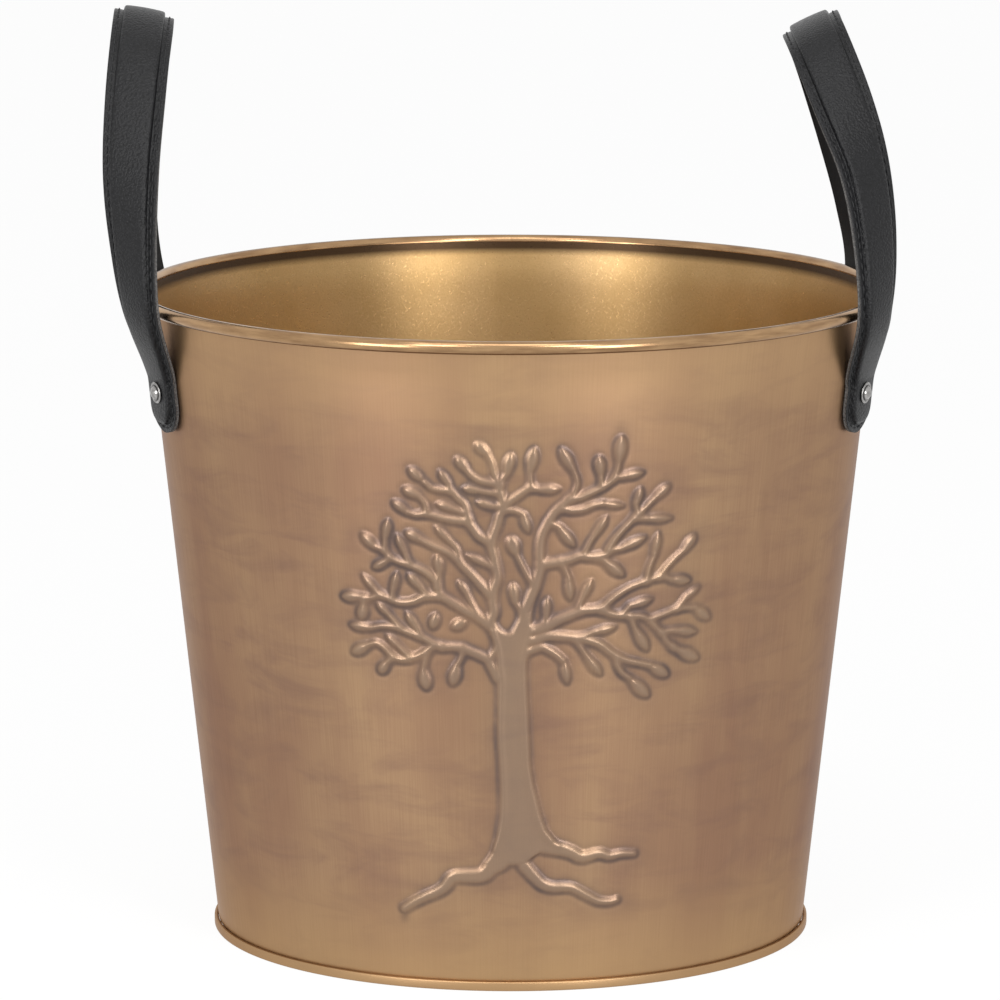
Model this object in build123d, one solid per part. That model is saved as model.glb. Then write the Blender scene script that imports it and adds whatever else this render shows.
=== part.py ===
from build123d import *
import math
import os

# A log bucket: a tapered sheet-metal vessel with a tree pressed into its front, a bead rolled round a
# wire at the rim, a floor folded round the wall's foot, and two padded strap handles held by rivets.
# Millimetres. The origin is the centre of the foot ring, on the ground. +Z is up, the tree faces -Y,
# and the handles stand at +X and -X.

# Vessel
FOOT_RADIUS = 133.0            # outside of the wall at the ground
FLARE = 0.108                  # how far the wall spreads for each millimetre of height
RIM_RADIUS = 170.0             # outside of the rolled bead
RIM_HEIGHT = 292.7             # top of the rolled bead
NECK_DROP = 17.0               # the wall turns out to the bead this far below the top
SHEET = 0.8                    # thickness of the wall and of the floor
FIT_GAP = 0.1                  # between folded layers, and between a rivet and its hole
WIRE_RADIUS = 2.0              # the wire inside the bead
BEAD_OPENING = 55.0            # degrees that the roll stops short of the wall
LAP_WIDTH = 12.0               # the vertical lap of the sheet, at the back

# Foot
FLOOR_HEIGHT = 9.0             # underside of the floor above the ground
HOOK_HEIGHT = 3.2              # top of the wall's turned-up hook
HOOK_GAP = 0.7                 # between the wall and its hook

# Tree relief
TREE_UNIT = 1.0                # millimetres for each unit of the tree's drawing
RELIEF = 1.7                   # how far the tree stands out of the wall
RELIEF_TOP = 262.0             # the relief lies between these heights
RELIEF_FOOT = 24.0

# Straps
STRAP_WIDTH = 27.0
BACKING = 1.0                  # thickness of the backing strip
COVER = 0.9                    # thickness of the cover
PAD_WIDTH = 16.8               # the soft core under the cover
PAD_HEIGHT = 2.6
PAD_SHOULDER = 1.5             # how far in from the core's sides its top begins
LAYER_GAP = 0.05               # between the layers of a strap
STRAP_GAP = 1.7                # between a tab's middle and the wall; its front edge is nearer
BEAD_GAP = 1.9                 # between the strap's front edge and the bead
SECTION_STEP = 7.0             # along the strap, between the sections that shape it
RIVET_DROP = 39.7              # rivet centre below the top of the bead
RIVET_ANGLE = 18.9             # rivet azimuth to the front and rear of the X axis
TAB_AZIMUTH = 27.0             # the azimuth that a tab faces, turned forward from the wall's own
TAB_REACH = 18.5               # from the rivet to the strap's end
TAB_RISE = 6.0                 # from the rivet to where the strap leaves the wall

# Each leg's route. First where it passes the bead: half the distance between the legs, and the azimuth
# that the strap faces. Then the rows above the rim: height above the bead, how far inside the rim's
# radius, half the distance between the legs, the azimuth and the sideways tilt. The tops of the two
# arches are rows of the same kind. The left handle's rear leg leans outwards and the right handle
# leans inwards.
LEFT_FRONT = ((65.5, 37.0), (
    (27.3, 4.5, 63.5, 49.8, 1.2),
    (59.3, 3.1, 55.7, 65.9, 3.6),
    (89.3, 4.4, 44.0, 78.1, 6.6),
    (111.3, 5.8, 25.9, 85.0, 9.0),
))
LEFT_REAR = ((55.0, 38.0), (
    (27.3, -1.3, 57.3, 42.0, 1.2),
    (59.3, -2.2, 54.5, 67.0, 3.6),
    (89.3, 0.8, 44.0, 78.1, 6.6),
    (111.3, 4.1, 25.9, 85.0, 9.0),
))
LEFT_TOP = (120.6, 5.9, 0.0, 90.0, 10.2)
RIGHT_FRONT = ((69.5, 33.5), (
    (27.3, 10.7, 65.0, 43.5, 3.1),
    (59.3, 15.0, 56.0, 54.0, 9.0),
    (89.3, 24.5, 44.4, 77.0, 16.7),
    (111.3, 33.2, 25.0, 85.2, 22.6),
))
RIGHT_REAR = ((64.0, 28.0), (
    (27.3, 11.0, 60.3, 46.0, 3.1),
    (59.3, 17.6, 56.0, 60.0, 9.0),
    (89.3, 25.4, 44.4, 77.0, 16.7),
    (111.3, 33.0, 25.0, 85.2, 22.6),
))
RIGHT_TOP = (116.5, 35.5, 0.0, 90.0, 25.7)

# The fold, where a strap bends: the loop above turns about a line along Y
FOLD_RADIUS = 14.6             # the loop's lower end is rounded to this about the fold line
FOLD_GAP = 0.4                 # between the loop and the fixed tabs
FOLD_CLEAR = 1.5               # between that rounded end and the bead, in height

# Stitching, drawn as one thread along each margin and round each end
THREAD_WIDTH = 0.8
THREAD_RISE = 0.4
THREAD_INSET = 2.1             # from the strap's edge to the thread

# Rivets
RIVET_SHANK = 2.0              # radius
RIVET_FLANGE = 4.9             # radius of the stepped head's rim
RIVET_FLANGE_RISE = 0.9
RIVET_DOME = 3.1               # radius of the dome on the head
RIVET_DOME_RISE = 2.2
BURR_RADIUS = 4.5              # the washer inside the wall
BURR_THICKNESS = 1.0
RIVET_TAIL = 2.9               # radius of the closed end inside
RIVET_TAIL_RISE = 0.9

# The tree, drawn on the front as seen from -Y: (x, z) points. Each limb has a width at its start and at
# its end, and each leaf has a stalk end, a tip and a width.
TRUNK_LEFT = ((-7.2, 168), (-7.2, 150), (-6.3, 130), (-6.2, 108), (-5.0, 92), (-6.0, 76), (-9.6, 61))
TRUNK_RIGHT = ((12, 60), (20, 68.5), (14.0, 76), (10.6, 90), (9.0, 104), (7.8, 128), (7.4, 150), (8.0, 168))
ROOTS = (
    (10.0, 3.4, ((-4, 60), (-12, 55), (-19, 52.7), (-24.5, 52.2), (-28.5, 48.4), (-34, 43.6), (-40, 40),
                 (-46, 37))),
    (10.0, 2.6, ((8, 66), (18, 64.8), (25, 64.3), (31, 60.7), (37, 62.0), (43, 60.8), (48, 61.4), (53, 60.6))),
    (9.0, 3.2, ((4, 61), (9, 53), (13.5, 48.6), (18, 47.4), (23.5, 47.6), (31, 44), (36.5, 41.2), (41, 39.2),
                (44.5, 39.4))),
)
LIMBS = (
    # the two stems that the trunk splits into
    (6.0, 5.0, ((-6, 160), (-7, 175), (-6.8, 190), (-8, 203), (-5.6, 213), (-3.2, 221))),
    (8.0, 5.0, ((4, 160), (5.5, 170), (9, 182), (12, 194), (12.2, 206), (16, 215), (24, 220.5))),
    # left side, from the bottom
    (6.5, 4.2, ((-5, 143), (-10, 152), (-20, 156.8), (-30, 157.8), (-36, 156.5))),
    (4.2, 4.0, ((-34, 157), (-39.5, 161.3), (-47, 163.4), (-52, 166))),
    (3.6, 3.2, ((-49, 164.6), (-56, 164), (-62, 162.4))),
    (4.4, 3.4, ((-35, 156), (-40.5, 151.2), (-46, 149.5), (-51, 150.2), (-56.5, 155), (-62, 155))),
    (3.0, 2.6, ((-50.5, 150.5), (-54.5, 147.3))),
    (3.4, 3.0, ((-43, 150.3), (-50.5, 157.3))),
    (3.4, 2.8, ((-36.5, 153), (-38, 146))),
    (3.4, 3.0, ((-39, 161), (-41.5, 166))),
    (4.2, 3.2, ((-20.5, 156.5), (-24, 148))),
    (9.0, 4.2, ((-6, 168), (-13, 172), (-21, 175.5), (-30, 179.3), (-38, 177.6), (-46, 175.4))),
    (4.0, 2.8, ((-44, 175.5), (-51, 175.8), (-58, 177.2), (-66, 176.2))),
    (2.8, 2.6, ((-63.5, 176), (-64, 172))),
    (3.8, 3.2, ((-54, 176.6), (-61.5, 183.4))),
    (3.0, 2.6, ((-51.5, 176.5), (-51.2, 181.5))),
    (4.0, 3.0, ((-36.5, 178), (-41.5, 183.5))),
    (5.2, 3.6, ((-29.5, 179.5), (-35.5, 188), (-43.5, 192.6), (-52, 195.8), (-59, 200.3))),
    (3.2, 2.8, ((-54, 197.5), (-55, 204.5))),
    (3.0, 2.4, ((-52, 195.5), (-55.5, 193.3))),
    (3.2, 2.8, ((-43.5, 192.6), (-46.5, 199.5))),
    (3.2, 2.8, ((-33, 185), (-31, 191))),
    (3.6, 3.0, ((-17, 174.5), (-20, 181.5))),
    (6.0, 4.0, ((-7, 181), (-16, 188.3), (-22.4, 195.3))),
    (3.8, 2.8, ((-20, 192.8), (-29, 200.2), (-39, 204.8))),
    (3.6, 3.2, ((-20.6, 191.8), (-23.2, 200.8), (-27, 206.3))),
    (3.8, 3.2, ((-8, 193), (-13.5, 195.6))),
    (5.4, 4.6, ((-8, 202), (-16, 209.5), (-19.3, 214))),
    (4.6, 3.4, ((-18, 212.8), (-28, 214.3), (-37, 215.6), (-45, 216))),
    (3.2, 2.8, ((-36.5, 215.5), (-36.8, 219.5), (-39.8, 223.5))),
    (4.4, 3.0, ((-19, 212), (-19.8, 218), (-27, 225.5), (-33, 226.8), (-38.5, 230.3))),
    (3.2, 2.8, ((-19.5, 217), (-24.5, 218.8))),
    (3.0, 2.6, ((-26.8, 225.5), (-27.8, 230.5))),
    # the middle
    (6.0, 4.2, ((-3.2, 219), (-5.4, 227), (-6, 232))),
    (4.0, 3.2, ((-5, 229.5), (-13, 232), (-20, 237.6))),
    (4.0, 3.2, ((-5, 225.8), (-11, 227.5), (-15, 227.4))),
    (4.0, 3.6, ((-6.2, 230), (-8, 239), (-11, 244.6))),
    (4.0, 3.6, ((-5.6, 230), (-2.8, 237))),
    (4.6, 3.6, ((-3.5, 219.8), (-9.5, 219.4))),
    (6.0, 4.2, ((-2, 221), (4, 224.8), (8.6, 228.2))),
    (3.4, 2.8, ((8.3, 227.5), (8.1, 235.5))),
    (3.8, 3.2, ((7.5, 227.8), (12.5, 227.3))),
    (4.8, 3.2, ((-2.5, 218.6), (4.8, 215.8))),
    (4.8, 3.2, ((9.5, 182.5), (6, 191), (2, 199.6))),
    (4.0, 3.4, ((5.4, 172.5), (2.2, 177))),
    # right side, from the top
    (4.6, 2.8, ((24.5, 221), (27.6, 228), (26.4, 236))),
    (5.0, 3.8, ((23, 220), (33, 224.8), (41, 230), (45.2, 233))),
    (3.2, 2.8, ((38, 228.5), (38.4, 233.5))),
    (3.6, 2.8, ((44, 231.5), (46.2, 239))),
    (3.8, 3.2, ((43.5, 231.6), (49.5, 232))),
    (5.0, 3.2, ((22, 219), (31, 217.6), (39, 220))),
    (4.8, 3.6, ((14.5, 212), (20.5, 209.8))),
    (7.0, 5.0, ((11, 192.6), (24, 195), (35, 197.2), (42, 200))),
    (5.6, 4.4, ((40, 198.5), (46.5, 206.3), (54.4, 213.6))),
    (4.2, 3.4, ((53.6, 212.5), (54, 220.5))),
    (3.4, 2.8, ((54, 213), (62.5, 221.7))),
    (4.0, 3.4, ((53, 212.4), (58.5, 211.5))),
    (5.0, 3.6, ((40, 198.4), (49, 200))),
    (5.0, 4.4, ((36.5, 197), (42, 193.2))),
    (3.4, 2.8, ((32, 197.2), (35.8, 205.5))),
    (3.4, 2.8, ((22, 193.5), (24, 188.5))),
    (7.5, 4.8, ((5, 162), (13, 165), (25, 171.4), (33, 172.8), (41, 172.6))),
    (4.6, 4.2, ((39.5, 172.2), (46, 179.5), (52, 183), (58.6, 185.4))),
    (3.6, 2.8, ((58.3, 184.8), (60.8, 196))),
    (4.6, 3.4, ((57, 185), (65, 187.6), (73.5, 197))),
    (4.4, 3.4, ((63, 187), (70.5, 184.2))),
    (3.6, 3.0, ((29.3, 172.5), (31, 178))),
    (5.0, 4.4, ((39.5, 172.8), (47, 169.6), (54, 169.3), (61.5, 167.4))),
    (4.0, 3.6, ((49, 170.5), (53, 173.5))),
    (4.2, 3.0, ((60, 167.4), (68, 169.6), (75, 170.4), (81.5, 169.2))),
    (3.4, 2.8, ((72.8, 170), (77, 175.6))),
    (4.2, 3.4, ((60.5, 167), (64.3, 162.2), (68.5, 155.2), (73, 151.8))),
    (3.4, 3.0, ((64.8, 160.6), (72, 161.4))),
    (4.4, 3.8, ((51.8, 168.5), (53.7, 163))),
    (7.5, 4.2, ((5, 161.5), (16, 161.8), (27, 160.8), (36, 159.6), (44.8, 151.3))),
    (4.0, 3.4, ((32, 160.8), (37, 162.8))),
    (3.8, 3.0, ((27, 160), (32.4, 153))),
    (4.2, 3.4, ((43.5, 152), (51, 148.6), (59.5, 146.5))),
    (4.2, 3.4, ((44.3, 151.6), (46.3, 145.8), (52, 140))),
    (6.0, 3.4, ((5, 155.5), (13, 157.4), (18.5, 154.6), (22.3, 149.5))),
    (3.6, 3.0, ((14.2, 166), (14.9, 171.5))),
)
LEAVES = (
    ((-60, 162.6), (-70, 163.6), 5.2), ((-51, 167.5), (-59, 174.2), 5.0), ((-41, 165), (-45.6, 171.8), 5.0),
    ((-60, 155.2), (-69.2, 150.7), 6.0), ((-53.5, 148), (-58.2, 143.2), 4.8), ((-49.5, 156.5), (-55, 161), 4.0),
    ((-38, 147), (-36.8, 138), 6.2), ((-23.6, 149.5), (-25.6, 139.4), 6.4), ((-31.2, 172.4), (-35.2, 164), 6.0),
    ((-19.4, 168.8), (-27, 163.8), 5.6), ((-64.5, 176.3), (-74, 176.4), 6.8), ((-63.8, 174), (-64.9, 165.4), 6.2),
    ((-60, 182), (-66, 187), 4.8), ((-51.4, 180), (-49.6, 189.4), 5.2), ((-40, 182), (-46.3, 188), 5.6),
    ((-57.5, 199), (-65.5, 206.3), 6.2), ((-55, 203), (-53, 213), 5.8), ((-54.2, 194.4), (-60.2, 189.6), 5.4),
    ((-45.8, 198), (-49.2, 206), 5.6), ((-31.2, 189.4), (-31.8, 198.8), 6.0), ((-19.4, 180), (-23, 186.6), 5.0),
    ((-37, 204), (-46.3, 207.4), 5.4), ((-25.8, 205), (-33.5, 211.3), 5.0), ((-12, 195), (-19.8, 198.8), 4.8),
    ((-43.4, 215.8), (-52.3, 221), 5.6), ((-38.4, 222.3), (-47.5, 227.5), 5.8), ((-37, 229), (-45, 236), 6.0),
    ((-23, 218.3), (-32.6, 221.4), 5.0), ((-27.2, 229), (-31.7, 236.3), 5.4), ((-18.8, 236.6), (-24.8, 242.4), 6.4),
    ((-13.6, 227.4), (-21, 227.8), 5.2), ((-9.2, 243), (-16, 248.4), 6.8), ((-3.4, 235.6), (1, 244), 6.8),
    ((-8, 219.4), (-15.3, 222.2), 5.0), ((8, 233.8), (10.4, 246.4), 7.2), ((11.2, 227.3), (21.3, 227), 5.2),
    ((4.2, 216.4), (8.2, 206.8), 5.6), ((2.6, 198.4), (-2.3, 205.8), 6.8), ((2.6, 175.6), (0, 186.2), 6.4),
    ((26.8, 234.4), (20.6, 245.8), 6.8), ((38.4, 232), (38, 242), 6.0), ((45.9, 237.4), (47.5, 250.3), 7.0),
    ((48, 231.7), (57.6, 234.1), 5.4), ((36.5, 219.2), (47.5, 220.6), 5.2), ((18.8, 211.2), (28.5, 201), 6.4),
    ((54, 218.6), (55.9, 227), 5.4), ((61, 220.4), (69.3, 227.6), 5.4), ((56.6, 211.6), (69.3, 211.4), 6.0),
    ((47, 199.4), (58.8, 205), 6.0), ((40.2, 194.7), (49.6, 187), 6.8), ((34.7, 203.4), (42, 215.3), 6.0),
    ((23.7, 190), (25.5, 177), 5.8), ((60.4, 194.4), (63.6, 206), 5.2), ((72, 195.4), (80.6, 204.6), 5.8),
    ((68.6, 184.9), (78, 181.8), 5.8), ((30.6, 176.5), (35.5, 186.3), 5.0), ((51.2, 172.8), (61.6, 175.9), 5.2),
    ((79.6, 170), (86.5, 164), 5.4), ((75.8, 174.4), (82, 180.1), 4.6), ((70.8, 161.7), (81.3, 158.6), 5.2),
    ((71, 153.2), (82.5, 146), 6.8), ((53, 165), (59.8, 152), 6.4), ((35.2, 162), (45.8, 165.4), 5.4),
    ((31.6, 154.4), (39.5, 142.6), 5.8), ((57.4, 147.2), (69.8, 139.8), 6.6), ((50.6, 141.2), (60.8, 131.4), 6.8),
    ((22, 151.4), (24.4, 139.4), 5.6), ((14.8, 169.6), (16, 180.6), 5.0),
)

# Derived sizes
BEAD_RADIUS = WIRE_RADIUS + FIT_GAP + SHEET
BEAD_CENTRE = RIM_RADIUS - BEAD_RADIUS
BEAD_HEIGHT = RIM_HEIGHT - BEAD_RADIUS
NECK_HEIGHT = RIM_HEIGHT - NECK_DROP
STRAP_HALF = STRAP_WIDTH / 2
COVER_BASE = BACKING + LAYER_GAP
COVER_FLANGE = COVER_BASE + COVER
PAD_TOP = COVER_BASE + PAD_HEIGHT
COVER_TOP = PAD_TOP + LAYER_GAP + COVER
PAD_HALF = PAD_WIDTH / 2
HUMP_HALF = PAD_HALF + LAYER_GAP + COVER
RIVET_HEIGHT = RIM_HEIGHT - RIVET_DROP
BURR_TILT = BURR_RADIUS * math.sin(math.radians(TAB_AZIMUTH - RIVET_ANGLE))
BURR_DEPTH = STRAP_GAP + SHEET + BURR_TILT + 2 * FIT_GAP  # from under the strap to the washer
FOLD_HEIGHT = RIM_HEIGHT + FOLD_CLEAR + FOLD_RADIUS
FAR = 3 * RIM_RADIUS
FRONT = Plane(origin=(0, 0, 0), x_dir=(1, 0, 0), z_dir=(0, -1, 0))


# The vessel

def wall_radius(height):
    """Outside of the wall at a height below its neck."""
    return FOOT_RADIUS + FLARE * height


def polar(radius, angle):
    """A point in the profile's plane, round the bead's centre."""
    turn = math.radians(angle)
    return (BEAD_CENTRE + radius * math.cos(turn), BEAD_HEIGHT + radius * math.sin(turn))


def turned(edges):
    """A solid turned round Z from a closed profile in (radius, height)."""
    return revolve(Plane.XZ * make_face(edges), Axis.Z)


def turned_outline(*points):
    return turned(Polyline(*points, close=True).edges())


def wall_ring(inner, outer, bottom, top):
    """The room between two offsets from the wall's outside."""
    return turned_outline(
        (wall_radius(bottom) + inner, bottom),
        (wall_radius(bottom) + outer, bottom),
        (wall_radius(top) + outer, top),
        (wall_radius(top) + inner, top),
    )


def wall_blank():
    """The plain wall with its bead at the rim and its hook at the foot."""
    base = SHEET + FIT_GAP
    hook = wall_radius(base) + HOOK_GAP + SHEET
    roll = WIRE_RADIUS + FIT_GAP
    stop = BEAD_OPENING - 180
    middle = (180 + stop) / 2
    outside = [
        (hook, base),
        (hook, HOOK_HEIGHT),
        (hook - SHEET, HOOK_HEIGHT),
        (hook - SHEET, base + SHEET),
        (wall_radius(base + SHEET), base + SHEET),
        (wall_radius(NECK_HEIGHT), NECK_HEIGHT),
        polar(roll, 180),
    ]
    inside = [
        polar(BEAD_RADIUS, 180),
        (wall_radius(NECK_HEIGHT) - SHEET, NECK_HEIGHT),
        (wall_radius(base) - SHEET, base),
        (hook, base),
    ]
    edges = Polyline(*outside).edges()
    edges += [
        ThreePointArc(polar(roll, 180), polar(roll, middle), polar(roll, stop)),
        Line(polar(roll, stop), polar(BEAD_RADIUS, stop)),
        ThreePointArc(polar(BEAD_RADIUS, stop), polar(BEAD_RADIUS, middle), polar(BEAD_RADIUS, 180)),
    ]
    edges += Polyline(*inside).edges()
    return turned(edges)


def make_floor():
    """The floor, its skirt inside the wall, and its fold round the wall's hook."""
    skirt = SHEET + FIT_GAP
    hook = wall_radius(skirt) + HOOK_GAP + SHEET
    lip = HOOK_HEIGHT + FIT_GAP
    return turned_outline(
        (0, FLOOR_HEIGHT),
        (wall_radius(FLOOR_HEIGHT) - skirt - SHEET, FLOOR_HEIGHT),
        (wall_radius(0) - skirt - SHEET, 0),
        (hook + skirt, 0),
        (hook + skirt, lip + SHEET),
        (wall_radius(lip) + 2 * FIT_GAP, lip + SHEET),
        (wall_radius(lip) + 2 * FIT_GAP, lip),
        (hook + FIT_GAP, lip),
        (hook + FIT_GAP, SHEET),
        (wall_radius(SHEET) - skirt, SHEET),
        (wall_radius(FLOOR_HEIGHT + SHEET) - skirt, FLOOR_HEIGHT + SHEET),
        (0, FLOOR_HEIGHT + SHEET),
    )


# The tree

def spline_through(points):
    return Spline(*points) if len(points) > 2 else Line(*points)


def limb_face(start_width, end_width, points, shrink):
    """A tapering limb with rounded ends, along the points."""
    lengths = [math.dist(a, b) for a, b in zip(points, points[1:])]
    total = sum(lengths)
    left, right = [], []
    for i, (x, z) in enumerate(points):
        before, after = points[max(i - 1, 0)], points[min(i + 1, len(points) - 1)]
        dx, dz = after[0] - before[0], after[1] - before[1]
        size = math.hypot(dx, dz)
        share = sum(lengths[:i]) / total
        half = (start_width + (end_width - start_width) * share) / 2 - shrink
        left.append((x - dz / size * half, z + dx / size * half))
        right.append((x + dz / size * half, z - dx / size * half))

    def cap(end, before, half):
        dx, dz = end[0] - before[0], end[1] - before[1]
        size = math.hypot(dx, dz)
        return (end[0] + dx / size * half, end[1] + dz / size * half)

    edges = [
        spline_through(left),
        ThreePointArc(left[-1], cap(points[-1], points[-2], end_width / 2 - shrink), right[-1]),
        spline_through(right[::-1]),
        ThreePointArc(right[0], cap(points[0], points[1], start_width / 2 - shrink), left[0]),
    ]
    return make_face(edges)


def leaf_face(stalk, tip, width, shrink):
    """A bud-shaped leaf, widest past its middle and blunt at the tip."""
    dx, dz = tip[0] - stalk[0], tip[1] - stalk[1]
    length = math.hypot(dx, dz)
    dx, dz = dx / length, dz / length
    half = width / 2 - shrink

    def point(along, across):
        return (stalk[0] + dx * along - dz * across, stalk[1] + dz * along + dx * across)

    end = length - shrink
    sides = []
    for side in (1, -1):
        sides.append([point(shrink, side * half * 0.25), point(0.58 * length, side * half),
                      point(end - 0.14 * length, side * half * 0.62)])
    edges = [
        Spline(*sides[0]),
        ThreePointArc(sides[0][-1], point(end, 0), sides[1][-1]),
        Spline(*sides[1][::-1]),
        Line(sides[1][0], sides[0][0]),
    ]
    return make_face(edges)


def trunk_face(shrink):
    left = [(x + shrink, z) for x, z in TRUNK_LEFT]
    right = [(x - shrink, z) for x, z in TRUNK_RIGHT]
    return make_face([Spline(*left), Line(left[-1], right[0]), Spline(*right), Line(right[-1], left[0])])


def tree_outline(shrink):
    """The whole figure as flat faces, as seen from the front."""
    faces = [trunk_face(shrink)]
    faces += [limb_face(*limb, shrink) for limb in ROOTS + LIMBS]
    faces += [leaf_face(*leaf, shrink) for leaf in LEAVES]
    return scale(Sketch() + faces, TREE_UNIT)


def make_wall():
    wall = wall_blank()
    lap = wall_ring(-SHEET / 2, SHEET, HOOK_HEIGHT + 3 * SHEET, NECK_HEIGHT)
    wall += lap & Pos(0, FAR / 2, NECK_HEIGHT / 2) * Box(LAP_WIDTH, FAR, FAR)
    raised = extrude(FRONT * tree_outline(0), FAR, dir=(0, -1, 0))
    wall += raised & wall_ring(-SHEET / 2, RELIEF, RELIEF_FOOT, RELIEF_TOP)
    hollow = extrude(FRONT * tree_outline(SHEET), FAR, dir=(0, -1, 0))
    wall -= hollow & wall_ring(-2 * SHEET, RELIEF - SHEET, RELIEF_FOOT + SHEET, RELIEF_TOP - SHEET)
    for place in rivet_places():
        wall -= place * Cylinder(RIVET_SHANK + FIT_GAP, 10 * SHEET)
    return wall


# The straps. Each is drawn at +X, from its front end to its rear end; the left one is then mirrored.

def tab_point(height):
    """A point on the strap's inner face where it lies against the wall, in front."""
    radius = wall_radius(height) + STRAP_GAP
    turn = math.radians(RIVET_ANGLE)
    return (radius * math.cos(turn), -radius * math.sin(turn), height)


def route_row(rise, inset, half, azimuth, tilt):
    return (RIM_RADIUS - inset, -half, RIM_HEIGHT + rise, azimuth, tilt)


def leg(bead, route):
    """Rows of x, y, z, azimuth and tilt up a front leg, from where it leaves the wall."""
    spread, twist = bead
    side = STRAP_HALF * math.sin(math.radians(twist))
    corner = spread + STRAP_HALF * math.cos(math.radians(twist))
    out = math.sqrt((RIM_RADIUS + BEAD_GAP) ** 2 - corner ** 2) + side
    rows = [
        (*tab_point(RIVET_HEIGHT + TAB_RISE), TAB_AZIMUTH, 0),
        (out, -spread, BEAD_HEIGHT, twist, 0),
    ]
    return rows + [route_row(*row) for row in route]


def stations(front, rear, top):
    """Rows up the front leg, over the top of the arch and down the rear leg."""
    down = [(x, -y, z, 180 - azimuth, tilt) for x, y, z, azimuth, tilt in reversed(leg(*rear))]
    return leg(*front) + [route_row(*top)] + down


class Strap:
    """The strap's route, measured from where the front tab leaves the wall."""

    def __init__(self, front, rear, top):
        self.rows = stations(front, rear, top)
        self.knots = [0.0]
        for a, b in zip(self.rows, self.rows[1:]):
            self.knots.append(self.knots[-1] + math.dist(a[:3], b[:3]))
        self.length = self.knots[-1]
        low, high = tab_point(RIVET_HEIGHT - TAB_REACH), self.rows[0][:3]
        self.tab = math.dist(low, high)
        self.up = [(b - a) / self.tab for a, b in zip(low, high)]
        self.slopes = []
        for i in range(1, len(self.rows) - 1):
            before = self.knots[i] - self.knots[i - 1]
            after = self.knots[i + 1] - self.knots[i]
            self.slopes.append([
                ((b - a) / before * after + (c - b) / after * before) / (before + after)
                for a, b, c in zip(self.rows[i - 1], self.rows[i], self.rows[i + 1])
            ])
        self.slopes.insert(0, [*self.up, 0, 0])
        self.slopes.append([-self.up[0], self.up[1], -self.up[2], 0, 0])

    def row(self, s):
        """Position, azimuth and tilt at a distance along the route, and how fast each changes."""
        if s <= 0 or s >= self.length:
            i, over = (0, s) if s <= 0 else (-1, s - self.length)
            return [value + slope * over for value, slope in zip(self.rows[i], self.slopes[i])], self.slopes[i]
        i = max(k for k in range(len(self.knots) - 1) if self.knots[k] <= s)
        span = self.knots[i + 1] - self.knots[i]
        t = (s - self.knots[i]) / span
        ends = list(zip(self.rows[i], self.rows[i + 1], self.slopes[i], self.slopes[i + 1]))
        place = [
            a + (3 * t ** 2 - 2 * t ** 3) * (b - a) + (t ** 3 - 2 * t ** 2 + t) * span * u
            + (t ** 3 - t ** 2) * span * v for a, b, u, v in ends
        ]
        speed = [
            6 * (t - t ** 2) * (b - a) / span + (3 * t ** 2 - 4 * t + 1) * u + (3 * t ** 2 - 2 * t) * v
            for a, b, u, v in ends
        ]
        return place, speed

    def frame(self, s):
        """A plane across the strap: X across its width, Y away from the vessel, Z back along the strap."""
        (x, y, z, azimuth, tilt), speed = self.row(s)
        ahead = Vector(*speed[:3]).normalized()
        turn, lean = math.radians(azimuth), math.radians(tilt)
        across = Vector(math.sin(turn) * math.cos(lean), math.cos(turn) * math.cos(lean), math.sin(lean))
        across = (across - ahead * across.dot(ahead)).normalized()
        return Plane(origin=(x, y, z), x_dir=across, z_dir=ahead * -1)

    def point(self, s, across, out):
        plane = self.frame(s)
        return plane.origin + plane.x_dir * across + plane.y_dir * out

    def arch(self, section):
        """A layer of the strap between its two tabs, with the section lofted along the route."""
        count = round(self.length / SECTION_STEP)
        places = [self.length * i / count for i in range(count + 1)]
        return loft([make_face(Polyline(*[self.point(s, *spot) for spot in section], close=True).edges())
                     for s in places], ruled=True)

    def tab_layer(self, low_half, low, high_half, high):
        """A layer of the front tab with a round end, from one height and half width to another."""
        straight = self.tab - STRAP_HALF
        faces = []
        for half, out in ((low_half, low), (high_half, high)):
            points = [(half, out, 0), (half, out, straight), (0, out, straight + half), (-half, out, straight),
                      (-half, out, 0)]
            faces.append(make_face([
                Line(points[0], points[1]), ThreePointArc(*points[1:4]), Line(points[3], points[4]),
                Line(points[4], points[0]),
            ]))
        return self.frame(0) * loft(faces, ruled=True)


def rivet_frame():
    """The front rivet's place at +X: its Z axis stands out of the strap and its origin is under the backing."""
    top, low = Vector(*tab_point(RIVET_HEIGHT + 1)), Vector(*tab_point(RIVET_HEIGHT - 1))
    turn = math.radians(TAB_AZIMUTH)
    across = Vector(math.sin(turn), math.cos(turn), 0)
    return Plane(origin=tab_point(RIVET_HEIGHT), x_dir=across, z_dir=across.cross(top - low))


def rivet_places():
    """The four rivets' places, two at the right and then two at the left."""
    front = rivet_frame()
    places = []
    for x, y in ((1, 1), (1, -1), (-1, 1), (-1, -1)):
        origin = Vector(front.origin.X * x, front.origin.Y * y, front.origin.Z)
        out = Vector(front.z_dir.X * x, front.z_dir.Y * y, front.z_dir.Z)
        places.append(Plane(origin=origin, z_dir=out).location)
    return places


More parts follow.
